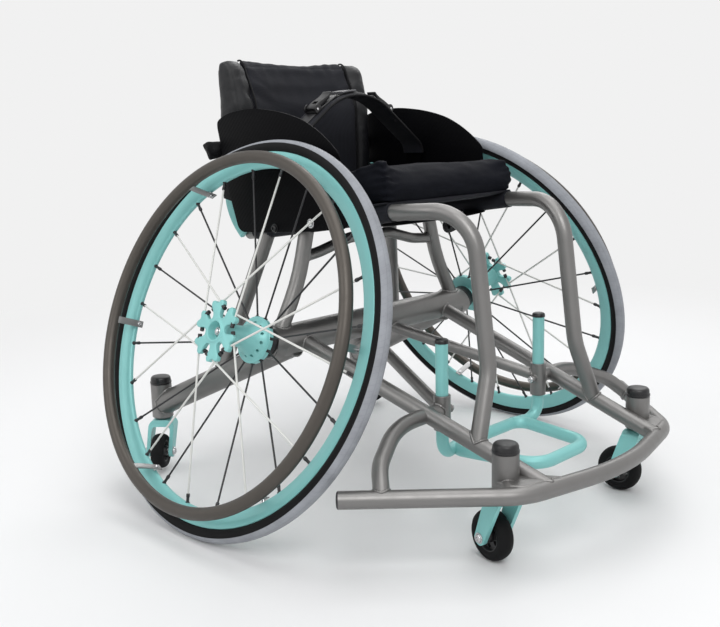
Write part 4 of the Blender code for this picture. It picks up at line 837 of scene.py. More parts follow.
def hub(side):
    """The star, the dished centre with its bearing seat, the flared barrel and the drilled inner flange."""
    star_back = HUB_FACE - STAR_THICK
    inner = FLANGE_OUTER - FLANGE_THICK
    neck = BUSH_FACE + BUSH_THICK + 0.0006
    dish = [
        (0.0095, -0.0098), (0.0118, -0.0098), (0.0132, -0.0070), (0.0142, -0.0015), (0.0148, 0.0010),
        (0.0158, 0.0018), (0.0176, 0.0018), (0.0188, 0.0010), (0.0202, -0.0006), (0.0222, -0.0016),
    ]
    profile = [(radius, HUB_FACE + rise) for radius, rise in dish]
    profile += [(0.0222, star_back + 0.0016), (0.0200, star_back - 0.0006), (0.0180, star_back - 0.0040)]
    flare = smooth_line([
        (0.0170, 0.012, 0), (0.0170, -0.004, 0), (0.0185, -0.013, 0), (0.0214, -0.021, 0), (0.0275, -0.0310, 0),
        (0.0333, -0.0366, 0), (0.0352, -0.0378, 0),
    ], 3)
    profile += [(point.x, point.y) for point in flare]
    profile += [
        (FLANGE_RADIUS - 0.0008, FLANGE_OUTER), (FLANGE_RADIUS, FLANGE_OUTER - 0.0008),
        (FLANGE_RADIUS, inner + 0.0008), (FLANGE_RADIUS - 0.0008, inner), (0.0180, inner),
        (0.0168, inner - 0.0015), (0.0165, neck + 0.0005), (0.0160, neck), (0.0095, neck),
    ]
    body = lathe(profile, 72, ring=True)
    cutters = []
    for k in range(SPOKES):
        turn = in_wheel(side, SPOKE_ANGLE + SPOKE_STEP * k)
        cutters.append(rod(polar(0.0235, turn, -0.0365), polar(0.0325, turn, -0.0275), 0.0026, 16))
    return dressed(merged([combine(body, cutters, "DIFFERENCE"), star(side)]), "mint")


def push_ring(side):
    """The ring, with flat straps that reach in to the rim's nose and a small bolt in each."""
    ring = [(PUSH_RADIUS + u, PUSH_OFFSET + v) for u, v in circle(PUSH_TUBE, 28)]
    parts = [dressed(lathe(ring, 160, ring=True), "push")]
    half, thin = 0.0058, 0.0010
    flat = [(-half, -thin), (half, -thin), (half, thin), (-half, thin)]
    inner = PUSH_RADIUS - PUSH_TUBE * 0.80
    foot = RIM_NOSE - 0.0058
    for k in range(TABS):
        spin = Matrix.Rotation(in_wheel(side, TAB_ANGLE + math.tau * k / TABS), 4, "Z")
        line = bent([
            ((inner, 0, PUSH_OFFSET + 0.0035), 0.0), ((inner - 0.0020, 0, PUSH_OFFSET - 0.008), 0.006),
            ((foot, 0, NOSE_HALF + 0.012), 0.010), ((foot, 0, -NOSE_HALF - 0.0040), 0.0),
        ], math.radians(12))
        strap = bevelled(swept(line, flat, up=(1, 0, 0.12)), 0.0004, 2)
        parts.append(dressed(moved(strap, spin), "strap"))
        turn = spin @ Matrix.Translation((foot - 0.0010, 0, 0.0002)) @ Matrix.Rotation(-math.pi / 2, 4, "Y")
        parts.append(dressed(moved(bolt_head(0.0036, 0.0022), turn), "steel"))
        shank = rod((foot, 0, 0), (RIM_NOSE + 0.003, 0, 0), 0.0028, 14)
        parts.append(dressed(moved(shank, spin), "steel"))
    return merged(parts)


def axle_pin():
    """The quick-release pin from the frame to the hub's dish, bored for its button."""
    top, base = HUB_FACE - 0.0050, BUSH_FACE - 0.055
    radius, bore = 0.00635, 0.0050
    return dressed(lathe([
        (0, base), (radius, base), (radius, top - 0.0006), (radius - 0.0006, top), (bore, top),
        (bore, top - 0.014), (0, top - 0.014),
    ], 32), "steel")


def release_button():
    top = HUB_FACE - 0.0028
    crown = [(0, 0), (0.0030, 0.0001), (0.0041, 0.0006), (0.0046, 0.0015), (0.0046, 0.0090), (0, 0.0090)]
    return dressed(lathe([(radius, top - drop) for radius, drop in crown], 28), "steel")


def bush():
    top, base, radius, bore = BUSH_FACE + BUSH_THICK, BUSH_FACE + 0.0003, 0.0225, 0.0068
    return dressed(lathe([
        (bore, top), (radius - 0.0030, top), (radius - 0.0008, top - 0.0008), (radius, top - 0.0024),
        (radius, base), (bore, base),
    ], 48, ring=True), "plastic")


def spoke_ends(side):
    """The white spokes' heads and the black spokes' moulded ends."""
    return dressed(merged(head_seats(side, 0.0034, 0.0058, 0.0022) + flange_ends(side)), "black")


def add_wheel(side):
    place = name_of(side)
    body = "wheel_" + place
    where = CHAIR @ wheel_frame(side)
    white, black = spoke_lines(side, True), spoke_lines(side, False)
    pieces = [
        ("tyre_", tyre(), body, "tyre_rubber", "main_tyre_", 60),
        ("rim_", rim(), body, "mint_paint", "main_rim_", 30),
        ("push_ring_", push_ring(side), body, "handrim_anodised", "handrim_", 40),
        ("wheel_hub_", hub(side), body, "mint_paint", "hub_", 35),
        ("spokes_white_", dressed(spokes(white, 0.0017), "white"), body, "white_fibre", "white_spokes_", 60),
        ("spokes_black_", dressed(spokes(black, 0.0016), "black"), body, "black_fibre", "black_spokes_", 60),
        ("spoke_ends_", spoke_ends(side), body, "black_fibre", None, 35),
        ("nipples_", dressed(merged(nipples(white + black)), "black"), body, "black_fibre", None, 35),
        ("axle_", axle_pin(), "frame", "bright_steel", "axle_pin_", 35),
        ("button_cap_", release_button(), "button_" + place, "bright_steel", "release_button_", 40),
        ("bush_", bush(), "frame", "black_plastic", "axle_bush_", 35),
    ]
    for name, piece, rides_on, slot, replaced, angle in pieces:
        finish(piece, name + place, rides_on, slot, [replaced + place] if replaced else (), angle, where)


# Frame


def lerp(a, b, share):
    return Vector(a).lerp(Vector(b), share)


def seat_tube_at(y):
    return lerp(SEAT_REAR, SEAT_FRONT, (SEAT_REAR[1] - y) / (SEAT_REAR[1] - SEAT_FRONT[1]))


def rail_ends():
    slope = (BUMPER_FRONT[1] - BUMPER_CORNER[1]) / (BUMPER_CORNER[0] - BUMPER_FRONT[0])
    front_y = BUMPER_CORNER[1] + slope * (BUMPER_CORNER[0] - RAIL_FRONT_X)
    return Vector(RAIL_REAR), Vector((RAIL_FRONT_X, front_y, BUMPER_HEIGHT))


def rail_at(y):
    rear, front = rail_ends()
    return rear.lerp(front, (y - rear.y) / (front.y - rear.y))


def rear_tube_at(share):
    (x, y), base, height = CASTERS["rear"][:3]
    return lerp((0.1938, 0.0, 0.2657), (x, y, base + height * 0.36), share)


def upright_path():
    return bent([
        ((0.2205, 0.0, CAMBER_HEIGHT + CAMBER_TUBE * 0.7), 0.0), ((0.1760, 0.0, 0.372), 0.300),
        (seat_tube_at(0.0), 0.0),
    ])


def seat_and_leg_path():
    return bent([
        (SEAT_REAR, 0.0), (SEAT_FRONT, 0.120), ((0.116, -0.317, 0.495), 0.082), ((0.117, -0.3468, 0.262), 0.080),
        (rail_at(LEG_FOOT_Y), 0.0),
    ])


def socket_point(height):
    return Vector((SOCKET_X, SOCKET_Y, height))


def socket_axis(side):
    return both_ways(side, [socket_point(SOCKET_BASE), socket_point(SOCKET_BASE + SOCKET_HEIGHT)])


def camber_axis():
    return [Vector((-CAMBER_HALF, 0, CAMBER_HEIGHT)), Vector((CAMBER_HALF, 0, CAMBER_HEIGHT))]


def housing_axis(side, kind):
    (x, y), base, height = CASTERS[kind][:3]
    return [Vector((x * side, y, base)), Vector((x * side, y, base + height))]


def side_brace_path():
    return bent([
        (socket_point(SOCKET_BASE + BRACE_RISE), 0.0), ((0.232, -0.263, 0.184), 0.130), ((0.306, -0.300, 0.152), 0.070),
        (lerp(WING_END, BUMPER_CORNER, 0.235), 0.0),
    ])


def v_brace_path():
    return [Vector((0.030, -0.006, 0.262)), socket_point(SOCKET_BASE + BRACE_RISE)]


def bumper_path():
    half = [(WING_END, 0.0), (BUMPER_CORNER, 0.100), (BUMPER_FRONT, 0.350)]
    return bent(both_halves(half))


def cross_path():
    path = upright_path()
    low = max(index for index in range(len(path)) if path[index].z <= CROSS_HEIGHT)
    end = path[low].lerp(path[low + 1], (CROSS_HEIGHT - path[low].z) / (path[low + 1].z - path[low].z))
    half = [(end, 0.0), ((0.120, 0.010, CROSS_HEIGHT + 0.003), 0.060), ((0.050, 0.005, 0.4294), 0.060)]
    return bent(both_halves(half))


def housing(side, kind):
    """A caster housing: a turned tube with faced ends."""
    (x, y), base, height = CASTERS[kind][:3]
    r, top = HOUSING_RADIUS, base + height
    profile = [
        (0, base + 0.001), (r - 0.0012, base), (r, base + 0.0012), (r, top - 0.0008), (r - 0.0008, top), (0, top),
    ]
    return moved(lathe(profile, 48), Matrix.Translation((x * side, y, 0)))


def bearing_ring(side, kind):
    """The bearing's seal that shows under a housing."""
    (x, y), base = CASTERS[kind][:2]
    inner, outer = 0.0100, 0.0155
    profile = [
        (inner, base + 0.004), (outer, base + 0.004), (outer, base - 0.0010), (0.0145, base - 0.0020),
        (inner, base - 0.0020),
    ]
    return dressed(moved(lathe(profile, 32, ring=True), Matrix.Translation((x * side, y, 0))), "plastic")


def open_tube(path, radius, wall=0.0022, depth=0.018):
    """A tube whose first end shows its wall and bore."""
    body = tube(path, radius, 32)
    start, onward = Vector(path[0]), (Vector(path[1]) - Vector(path[0])).normalized()
    return combine(body, [rod(start - onward * 0.01, start + onward * depth, radius - wall, 28)], "DIFFERENCE")


def add_side_frame(side):
    place = name_of(side)
    seat = both_ways(side, seat_and_leg_path())
    rail = both_ways(side, rail_ends())
    upright = both_ways(side, upright_path())
    rear_up = both_ways(side, [seat_tube_at(0.097), rear_tube_at(0.533)])
    rear = both_ways(side, [rear_tube_at(0), rear_tube_at(0.985)])
    brace = both_ways(side, side_brace_path())
    camber, bumper, socket = camber_axis(), bumper_path(), socket_axis(side)
    front_axis, rear_axis = housing_axis(side, "front"), housing_axis(side, "rear")
    clamp = socket_point(SOCKET_BASE + CLAMP_RISE)
    boss = both_ways(side, [clamp, clamp - Vector((0.0205, 0, 0))])
    stem = Vector((*CASTERS["front"][0], 0))
    nearest = min(bumper, key=lambda point: (point - stem).to_2d().length)
    gusset = both_ways(side, [stem + Vector((0, 0, GUSSET_HEIGHT)), nearest])
    outline = [(x * side, y) for x, y in GUSSET_WEB]
    web = plate(outline, 0.0150, Matrix.Translation((0, 0, 0.1265)), 0.0040, 4)
    base, top, bore = SOCKET_BASE, SOCKET_BASE + SOCKET_HEIGHT, POST_RADIUS + 0.0004
    sleeve = lathe([
        (bore, base), (SOCKET_RADIUS - 0.0006, base), (SOCKET_RADIUS, base + 0.0006),
        (SOCKET_RADIUS, top - 0.0006), (SOCKET_RADIUS - 0.0006, top), (bore, top),
    ], 40, ring=True)
    tubes = dressed(merged([
        open_tube(seat, MAIN_TUBE), tube(rail, MAIN_TUBE, 32), tube(upright, MAIN_TUBE, 32),
        tube(rear_up, MAIN_TUBE, 32), tube(rear, REAR_TUBE, 36), tube(brace, BRACE_TUBE, 32),
        housing(side, "front"), housing(side, "rear"), tube(gusset, GUSSET_TUBE, 24), web,
        rod(*boss, BOSS_TUBE, 24, 0.0008), moved(sleeve, Matrix.Translation((SOCKET_X * side, SOCKET_Y, 0))),
    ]), "frame")
    finish(tubes, "frame_tubes_" + place, "frame", "frame_grey", ["side_frame_" + place], 40)
    beads = [
        weld(rail, MAIN_TUBE, camber, CAMBER_TUBE),
        weld(rail[::-1], MAIN_TUBE, bumper, MAIN_TUBE),
        weld(upright, MAIN_TUBE, camber, CAMBER_TUBE),
        weld(upright[::-1], MAIN_TUBE, seat, MAIN_TUBE),
        weld(rear_up, MAIN_TUBE, seat, MAIN_TUBE),
        weld(rear_up[::-1], MAIN_TUBE, rear, REAR_TUBE),
        weld(rear, REAR_TUBE, camber, CAMBER_TUBE),
        weld(rear[::-1], REAR_TUBE, rear_axis, HOUSING_RADIUS),
        weld(seat[::-1], MAIN_TUBE, rail, MAIN_TUBE),
        weld(brace, BRACE_TUBE, socket, SOCKET_RADIUS),
        weld(brace[::-1], BRACE_TUBE, bumper, MAIN_TUBE),
        weld(gusset, GUSSET_TUBE, front_axis, HOUSING_RADIUS, 0.0012),
        weld(boss, BOSS_TUBE, socket, SOCKET_RADIUS, 0.0012),
    ]
    finish(dressed(merged(beads), "weld"), "weld_beads_" + place, "frame", "frame_grey", (), 60)
    rings = merged([bearing_ring(side, "front"), bearing_ring(side, "rear")])
    finish(rings, "stem_seals_" + place, "frame", "black_plastic")


def add_camber_frame():
    camber = camber_axis()
    ends = []
    for side in (1, -1):
        beyond = block((-0.05, -0.05, BUSH_FACE), (0.05, 0.05, BUSH_FACE + 0.06))
        ends.append(moved(beyond, wheel_frame(side)))
    parts = [combine(tube(camber, CAMBER_TUBE, 48), ends, "DIFFERENCE")]
    beads = []
    for side in (1, -1):
        where = wheel_frame(side)
        outer, inner = where @ Vector((0, 0, BUSH_FACE)), where @ Vector((0, 0, BUSH_FACE - BOSS_LENGTH))
        parts.append(rod(inner, outer, BOSS_RADIUS, 48, 0.0012))
        brace = both_ways(side, v_brace_path())
        parts.append(tube(brace, V_TUBE, 28))
        beads.append(weld(brace, V_TUBE, camber, CAMBER_TUBE))
        beads.append(weld(brace[::-1], V_TUBE, socket_axis(side), SOCKET_RADIUS, 0.0016))
    finish(dressed(merged(parts), "frame"), "camber_tube", "frame", "frame_grey", ["camber_frame"], 40)
    finish(dressed(merged(beads), "weld"), "camber_welds", "frame", "frame_grey", (), 60)


def add_bumper():
    path = bumper_path()
    finish(dressed(tube(path, MAIN_TUBE, 36), "frame"), "bumper_tube", "frame", "frame_grey", ["bumper"], 40)
    dome = [
        (0, 0.0032), (0.0060, 0.0031), (0.0098, 0.0026), (0.0118, 0.0016), (0.0126, 0.0004),
        (0.0126, 0.0002), (0, 0.0002),
    ]
    for side in (1, -1):
        name = name_of(side)
        end = mirrored(path[0], side)
        along = (end - mirrored(path[1], side)).normalized()
        plug = moved(lathe(dome, 36), aim(end, end + along))
        finish(dressed(plug, "plastic"), "end_plug_" + name, "frame", "black_plastic", ["bumper_plug_" + name])


def add_cross_tube():
    path = cross_path()
    finish(dressed(tube(path, CROSS_TUBE, 28), "frame"), "cross_tube", "frame", "frame_grey", ["seat_cross_tube"], 40)
    beads = [
        weld(path[::step], CROSS_TUBE, both_ways(step, upright_path()), MAIN_TUBE, 0.0018) for step in (1, -1)
    ]
    finish(dressed(merged(beads), "weld"), "cross_welds", "frame", "frame_grey", (), 60)


def add_footrest():
    """The loop with its two posts, the posts' caps and the clamp screws in the sockets' bosses."""
    half = [((0.095, -0.253, LOOP_HEIGHT), 0.022), ((0.068, -0.405, LOOP_HEIGHT), 0.040)]
    parts = [tube(bent(both_halves(half)), POST_RADIUS, 32, closed=True)]
    dome = [
        (0, 0.0076), (0.0070, 0.0075), (0.0094, 0.0066), (0.0107, 0.0048), (0.0110, 0.0028),
        (0.0110, 0.0003), (0, 0.0003),
    ]
    post = bent([
        (socket_point(POST_TOP), 0.0), (socket_point(LOOP_HEIGHT + 0.0005), 0.030),
        ((0.073, -0.253, LOOP_HEIGHT + 0.0005), 0.0),
    ])
    for side in (1, -1):
        name = name_of(side)
        parts.append(tube(both_ways(side, post), POST_RADIUS * 0.99, 32))
        cover = moved(lathe(dome, 36), Matrix.Translation(mirrored(socket_point(POST_TOP), side)))
        cover = dressed(cover, "plastic")
        finish(cover, "footrest_cap_" + name, "footrest", "black_plastic", ["post_cap_" + name])
        tip = mirrored(socket_point(SOCKET_BASE + CLAMP_RISE), side)
        inward = Vector((-side, 0, 0))
        head = moved(bolt_head(0.0055, 0.0040), aim(tip + inward * 0.0208, tip + inward * 0.03))
        finish(dressed(head, "steel"), "clamp_head_" + name, "frame", "bright_steel", ["clamp_screw_" + name])
    finish(dressed(merged(parts), "mint"), "footrest_tube", "footrest", "mint_paint", ["footrest"], 40)


# Casters


def fork(crown_top, housing_base, axle_height):
    """An arch seen from the front, trimmed to a raked leg with round ends seen from the side."""
    inner, outer, shoulder, thick = 0.0172, 0.0240, 0.0130, 0.0120
    base = axle_height - 0.013
    arch = crown_top - thick
    front = [(-outer, base)] + arc((-outer + shoulder, crown_top - shoulder), shoulder, 180, 90, 8)
    front += arc((outer - shoulder, crown_top - shoulder), shoulder, 90, 0, 8) + [(outer, base), (inner, base)]
    front += arc((inner - 0.006, arch - 0.006), 0.006, 0, 90, 6)
    front += arc((-inner + 0.006, arch - 0.006), 0.006, 90, 180, 6) + [(-inner, base)]
    body = plate(front, 0.16, UPRIGHT)
    rake = math.degrees(math.atan2(TRAIL, crown_top - axle_height))
    leg = arc((-0.0110, crown_top - 0.001), 0.002, 90, 180, 3) + [(-0.0130, arch)]
    leg += arc((TRAIL, axle_height), 0.0110, 180 + rake * 0.6, 360, 14)
    leg += [(0.0165, arch + 0.006)] + arc((0.0145, crown_top - 0.001), 0.002, 0, 90, 3)
    combine(body, [plate(leg, 0.12, SIDEWAYS)], "INTERSECT")
    bevelled(body, 0.0016, 3, math.radians(50))
    stem = rod((0, 0, crown_top - 0.002), (0, 0, housing_base + 0.003), 0.0098, 32)
    return merged([dressed(body, "mint"), dressed(stem, "steel")])


def roller(radius, axle_height):
    """A soft round tyre on a drilled core, turned about the fork's bolt."""
    half = 0.0130
    ring = [
        (radius * 0.60, half * 0.80), (radius * 0.64, half * 0.90), (radius - 0.0080, half * 0.97),
        (radius - 0.0050, half * 0.93), (radius - 0.0026, half * 0.76), (radius - 0.0010, half * 0.50),
        (radius - 0.0002, half * 0.22),
    ]
    profile = ring + [(radius, 0.0)] + [(r, -h) for r, h in reversed(ring)]
    soft = dressed(lathe(profile, 64, ring=True), "caster")
    core_half = [
        (0.0046, half * 0.97), (0.0085, half * 0.97), (0.0095, half * 0.90), (0.0105, half * 0.42),
        (radius * 0.53, half * 0.42), (radius * 0.57, half * 0.78), (radius * 0.61, half * 0.82),
    ]
    core = lathe(both_faces(core_half), 48, ring=True)
    cutters = []
    for k in range(6):
        spot = polar(radius * 0.415, math.tau * k / 6, 0)
        cutters.append(rod(spot - Vector((0, 0, 0.02)), spot + Vector((0, 0, 0.02)), radius * 0.098, 20))
    combine(core, cutters, "DIFFERENCE")
    across = Matrix.Rotation(math.pi / 2, 4, "Y")
    return moved(merged([soft, dressed(core, "plastic")]), Matrix.Translation((0, TRAIL, axle_height)) @ across)


def fork_bolt(axle_height):
    parts = []
    for way in (1, -1):
        turn = Matrix.Rotation(math.pi / 2 * way, 4, "Y")
        washer = lathe([(0, 0.0003), (0.0082, 0.0003), (0.0082, 0.0009), (0.0078, 0.0012), (0, 0.0012)], 28)
        head = moved(bolt_head(0.0064, 0.0034), Matrix.Translation((0, 0, 0.0012)))
        for piece in (washer, head):
            parts.append(moved(piece, Matrix.Translation((0.0240 * way, TRAIL, axle_height)) @ turn))
        spacer = rod((0.0131 * way, TRAIL, axle_height), (0.0171 * way, TRAIL, axle_height), 0.0068, 24)
        parts.append(spacer)
    parts.append(rod((-0.0172, TRAIL, axle_height), (0.0172, TRAIL, axle_height), 0.0040, 20))
    return merged(parts)


def cap(top):
    """A housing's cap: a lip on the housing under a plug with a flat top."""
    shape = [
        (0, 0.0144), (0.70, 0.0142), (0.82, 0.0136), (0.905, 0.0120), (0.950, 0.0098), (0.965, 0.0070),
        (0.965, 0.0046), (1.01, 0.0042), (1.02, 0.0034), (1.02, 0.0008), (1.0, 0.0003), (0, 0.0003),
    ]
    return lathe([(HOUSING_RADIUS * share, top + rise) for share, rise in shape], 48)


def add_caster(kind, side):
    (x, y), base, height, radius, lift = CASTERS[kind]
    name = kind + "_" + name_of(side)
    across = Vector(JOINTS["roll_" + name]["axis"])
    swivel = math.atan2(across.y, across.x)
    where = CHAIR @ Matrix.Translation((x * side, y, 0)) @ Matrix.Rotation(swivel, 4, "Z")
    crown_top, axle_height = base - 0.0035, radius + lift
    pieces = [
        ("fork_", fork(crown_top, base, axle_height), "fork_" + name, "mint_paint", "caster_fork_"),
        ("roller_", roller(radius, axle_height), "roller_" + name, "caster_rubber", "caster_wheel_"),
        ("fork_bolt_", dressed(fork_bolt(axle_height), "steel"), "fork_" + name, "bright_steel", "caster_bolt_"),
        ("stem_cap_", dressed(cap(base + height), "plastic"), "frame", "black_plastic", "caster_cap_"),
    ]
    for prefix, piece, body, slot, replaced in pieces:
        finish(piece, prefix + name, body, slot, [replaced + name], 40, where)


# Upholstery


def stuffed(counts, place):
    """A closed cushion form: each point (a, b, c) of a cube's faces, from -1 to 1, goes to place(a, b, c)."""
    nu, nv, nw = counts
    index, verts, faces = {}, [], []

    def at(i, j, k):
        key = (i, j, k)
        if key not in index:
            index[key] = len(verts)
            verts.append(place(2 * i / nu - 1, 2 * j / nv - 1, 2 * k / nw - 1))
        return index[key]

    for i in range(nu):
        for j in range(nv):
            for k in (0, nw):
                faces.append((at(i, j, k), at(i + 1, j, k), at(i + 1, j + 1, k), at(i, j + 1, k)))
    for i in range(nu):
        for k in range(nw):
            for j in (0, nv):
                faces.append((at(i, j, k), at(i + 1, j, k), at(i + 1, j, k + 1), at(i, j, k + 1)))
    for j in range(nv):
        for k in range(nw):
            for i in (0, nu):
                faces.append((at(i, j, k), at(i, j + 1, k), at(i, j + 1, k + 1), at(i, j, k + 1)))
    return outward(object_of("stuffed", verts, faces))


def softened(obj):
    step = obj.modifiers.new("soft", "SUBSURF")
    step.levels = step.render_levels = 1
    return settled(obj)


def inflated(obj, cap, pressure, frames, voxel=0.0055):
    """Cloth under light pressure, so that the cover swells and creases as a filled one does."""
    remesh = obj.modifiers.new("grid", "REMESH")
    remesh.mode = "VOXEL"
    remesh.voxel_size = voxel
    settled(obj)
    rest = [vert.co.copy() for vert in obj.data.vertices]
    cloth = obj.modifiers.new("cloth", "CLOTH")
    cloth.settings.use_pressure = True
    cloth.settings.uniform_pressure_force = pressure
    cloth.settings.mass = 0.3
    cloth.settings.tension_stiffness = 22
    cloth.settings.compression_stiffness = 22
    cloth.settings.shear_stiffness = 8
    cloth.settings.bending_stiffness = 0.6
    cloth.settings.effector_weights.gravity = 0.0
    cloth.point_cache.frame_start = 1
    cloth.point_cache.frame_end = frames
    for index in range(1, frames + 1):
        bpy.context.scene.frame_set(index)
    settled(obj)
    bpy.context.scene.frame_set(1)
    for vert, old in zip(obj.data.vertices, rest):
        shift = vert.co - old
        if shift.length > cap:
            vert.co = old + shift * (cap / shift.length)
    graph = bmesh.new()
    graph.from_mesh(obj.data)
    bmesh.ops.smooth_vert(graph, verts=graph.verts, factor=0.4, use_axis_x=True, use_axis_y=True, use_axis_z=True)
    graph.to_mesh(obj.data)
    graph.free()
    return softened(obj)


def creased(obj, depth):
    """Moves each point along its normal by depth(point), for seams, gathers and folds."""
    normals = [vert.normal.copy() for vert in obj.data.vertices]
    shifts = [depth(vert.co) for vert in obj.data.vertices]
    for vert, normal, shift in zip(obj.data.vertices, normals, shifts):
        vert.co += normal * shift
    obj.data.update()
    return obj


def bell(distance, width):
    return math.exp(-(distance / width) ** 2)


SEAT_FRAME = Matrix.Translation((0, SEAT_FRONT[1], SEAT_FRONT[2])) @ Matrix.Rotation(-SEAT_TILT, 4, "X")
SLING_TOP = MAIN_TUBE + 0.0043
CUSHION_HALF = 0.158
CUSHION_LENGTH = 0.335


def cushion_place(a, b, c):
    side = CUSHION_HALF - 0.007 * (1 - b * b) + 0.0045 * (1 - c * c)
    front = 0.0045 * (1 - a * a) - 0.004 * (1 - c * c)
    rear = -0.006 * (1 - a * a) + 0.004 * (1 - c * c)
    along = (CUSHION_LENGTH / 2) * (1 + b) + (front * (1 - b) + rear * (1 + b)) / 2
    ahead = ((1 - b) / 2) ** 4
    ear = ((0.0275 if a < 0 else 0.0125) * abs(a) ** 6 + 0.0050 * (1 - a * a)) * ahead
    top = 0.0415 + 0.0130 * (1 - a * a) * (1 - b * b) + 0.004 * (1 - b * b) + ear
    narrow = 1 - 0.035 * (abs(c) ** 3) * (1 - abs(b) ** 8)
    droop = (0.0085 - 0.0035 * a * a) * ((1 - b) / 2) ** 10
    return Vector((a * side * narrow, along - 0.003 * ahead * (1 - c * c), top * (c + 1) / 2 - droop * (1 - c) / 2))


def cushion_creases(point):
    """Gathers and a pinched seam at the front corners, and slack folds over the cover."""
    total = 0.0
    for way in (1, -1):
        corner = Vector((CUSHION_HALF * way, 0.0))
        reach = (point.to_2d() - corner).length
        if reach < 0.06:
            ripple = math.sin(point.z * 560.0 + 2.6 * noise.noise(point * 60.0))
            strength = 1.0 if way < 0 else 0.45
            total += strength * (0.0026 * ripple * math.exp(-reach / 0.016) - 0.0026 * bell(reach, 0.0035))
    if point.z > 0.008:
        total += 0.0016 * noise.noise(Vector((point.x * 16, point.y * 20, point.z * 40)))
        total += 0.0007 * noise.noise(Vector((point.x * 45, point.y * 50, point.z * 120)))
    return total


def add_cushion():
    cushion = inflated(stuffed((44, 46, 12), cushion_place), 0.006, 2.2, 14)
    creased(cushion, cushion_creases)
    where = CHAIR @ SEAT_FRAME @ Matrix.Translation((0, 0.002, SLING_TOP + 0.0003))
    finish(dressed(cushion, "seat"), "cushion", "frame", "black_fabric", ["seat_cushion"], 80, where)


def sling_place(a, b, c):
    sag = -0.006 * (1 - a * a) if c < 0 else -0.0008 * (1 - a * a)
    return Vector((a * 0.1650, 0.0015 + (b + 1) / 2 * 0.336, SLING_TOP - 0.0040 + 0.0038 * (c + 1) / 2 + sag))


def add_sling():
    """The seat sheet with its sleeves round the seat tubes, the strap that tightens it, and its loose end."""
    parts = [moved(softened(stuffed((28, 24, 1), sling_place)), SEAT_FRAME)]
    for side in (1, -1):
        path = [mirrored(seat_tube_at(y), side) for y in (-0.1905, -0.10, 0.0, 0.07, 0.128)]
        parts.append(swept(smooth_line(path, 6), circle(MAIN_TUBE + 0.0020, 36)))
    sling = merged(parts)
    finish(dressed(sling, "cloth"), "sling", "frame", "black_fabric", ["seat_sling"], 50)
    ends = [mirrored(seat_tube_at(-0.118), side) for side in (-1, 1)]
    line = []
    for k in range(33):
        share = k / 32
        line.append(ends[0].lerp(ends[1], share) - Vector((0, 0, 0.0040 * (1 - (2 * share - 1) ** 4) + 0.0140)))
    strips = [swept(line, strap_section(0.038, 0.0018), up=(0, 0, 1))]
    x, y, z = seat_tube_at(-0.105)
    loop = smooth_line([
        (x - 0.004, y + 0.012, z - 0.0150), (x - 0.016, y + 0.010, z - 0.0280), (x - 0.040, y + 0.004, z - 0.0330),
        (x - 0.066, y - 0.002, z - 0.0350), (x - 0.072, y - 0.003, z - 0.0310), (x - 0.060, y - 0.002, z - 0.0270),
    ], 6)
    strips.append(swept(loop, strap_section(0.022, 0.0022), up=(0, 1, 0)))
    finish(dressed(merged(strips), "webbing"), "seat_straps", "frame", "black_webbing", (), 50)


BACK_LEVELS = ((0.507, 0.1515), (0.600, 0.1515), (0.655, 0.1530), (0.690, 0.1650), (0.720, 0.1780), (0.743, 0.1885))
BACK_REAR = 0.2044
BACK_BASE = 0.507
BACK_HALF = 0.1665
BACK_SEAM = 0.1244
ROLL_SPOTS = ((0.150, 0.2085, 0.587), (0.168, 0.2100, 0.584), (0.183, 0.2125, 0.585), (0.192, 0.2140, 0.582))


def back_front(z):
    """How far forwards the backrest's face stands at a height, along the seam beside the panel."""
    for (low, y_low), (high, y_high) in zip(BACK_LEVELS, BACK_LEVELS[1:]):
        if z <= high:
            share = max(0.0, (z - low) / (high - low))
            return y_low + (y_high - y_low) * share * share * (3 - 2 * share)
    return BACK_LEVELS[-1][1]


def panel_place(a, b, c):
    z = BACK_BASE + (b + 1) / 2 * (0.2345 - 0.0030 * abs(a) ** 3)
    x = a * (BACK_SEAM - 0.0012)
    front = back_front(z) + 0.010 * (1 - a * a) ** 0.8
    rear = BACK_REAR - 0.002
    soft = 0.005 * (max(0.0, abs(b) - 0.92) / 0.08) ** 2
    y = (front + soft) * (1 + c) / 2 + (rear - soft * 0.3) * (1 - c) / 2
    return Vector((x, y, z + 0.0030 * b * (1 - c * c)))


def panel_creases(point):
    """Puckers under the top hem, slack folds and the hem's own stitch line."""
    top = max(0.0, 0.7425 - point.z)
    total = -0.0008 * bell(top - 0.014, 0.0018)
    fan = math.sin(point.x * 230.0 + 2.4 * noise.noise(Vector((point.x * 22, 3.1, 0.4))))
    total += 0.0015 * fan * math.exp(-top / 0.022) * (0.4 + 0.6 * noise.noise(Vector((point.x * 12, 0.2, 1.7))))
    total += 0.0022 * noise.noise(Vector((point.x * 13, point.y * 9, point.z * 11)))
    return total + 0.0007 * noise.noise(Vector((point.x * 48, point.y * 40, point.z * 34)))


def bolster_place(side):
    def place(a, b, c):
        away = (a * side + 1) / 2
        x = side * (BACK_SEAM + 0.0012 + (BACK_HALF - BACK_SEAM - 0.0012) * away)
        z = BACK_BASE + (b + 1) / 2 * (0.2285 - 0.004 * away ** 4)
        front = back_front(z) + (0.1680 - back_front(z)) * away * 0.5 - 0.0060 * math.sin(math.pi * away) - 0.001
        front += 0.005 * away ** 6
        soft = 0.008 * (max(0.0, b - 0.86) / 0.14) ** 2
        y = (front + soft) * (1 + c) / 2 + (BACK_REAR - soft * 0.5) * (1 - c) / 2
        bulge = 0.0025 * (1 - c * c) * (away ** 3) * side
        return Vector((x + bulge, y, z + 0.003 * max(b, 0) * (1 - c * c)))
    return place


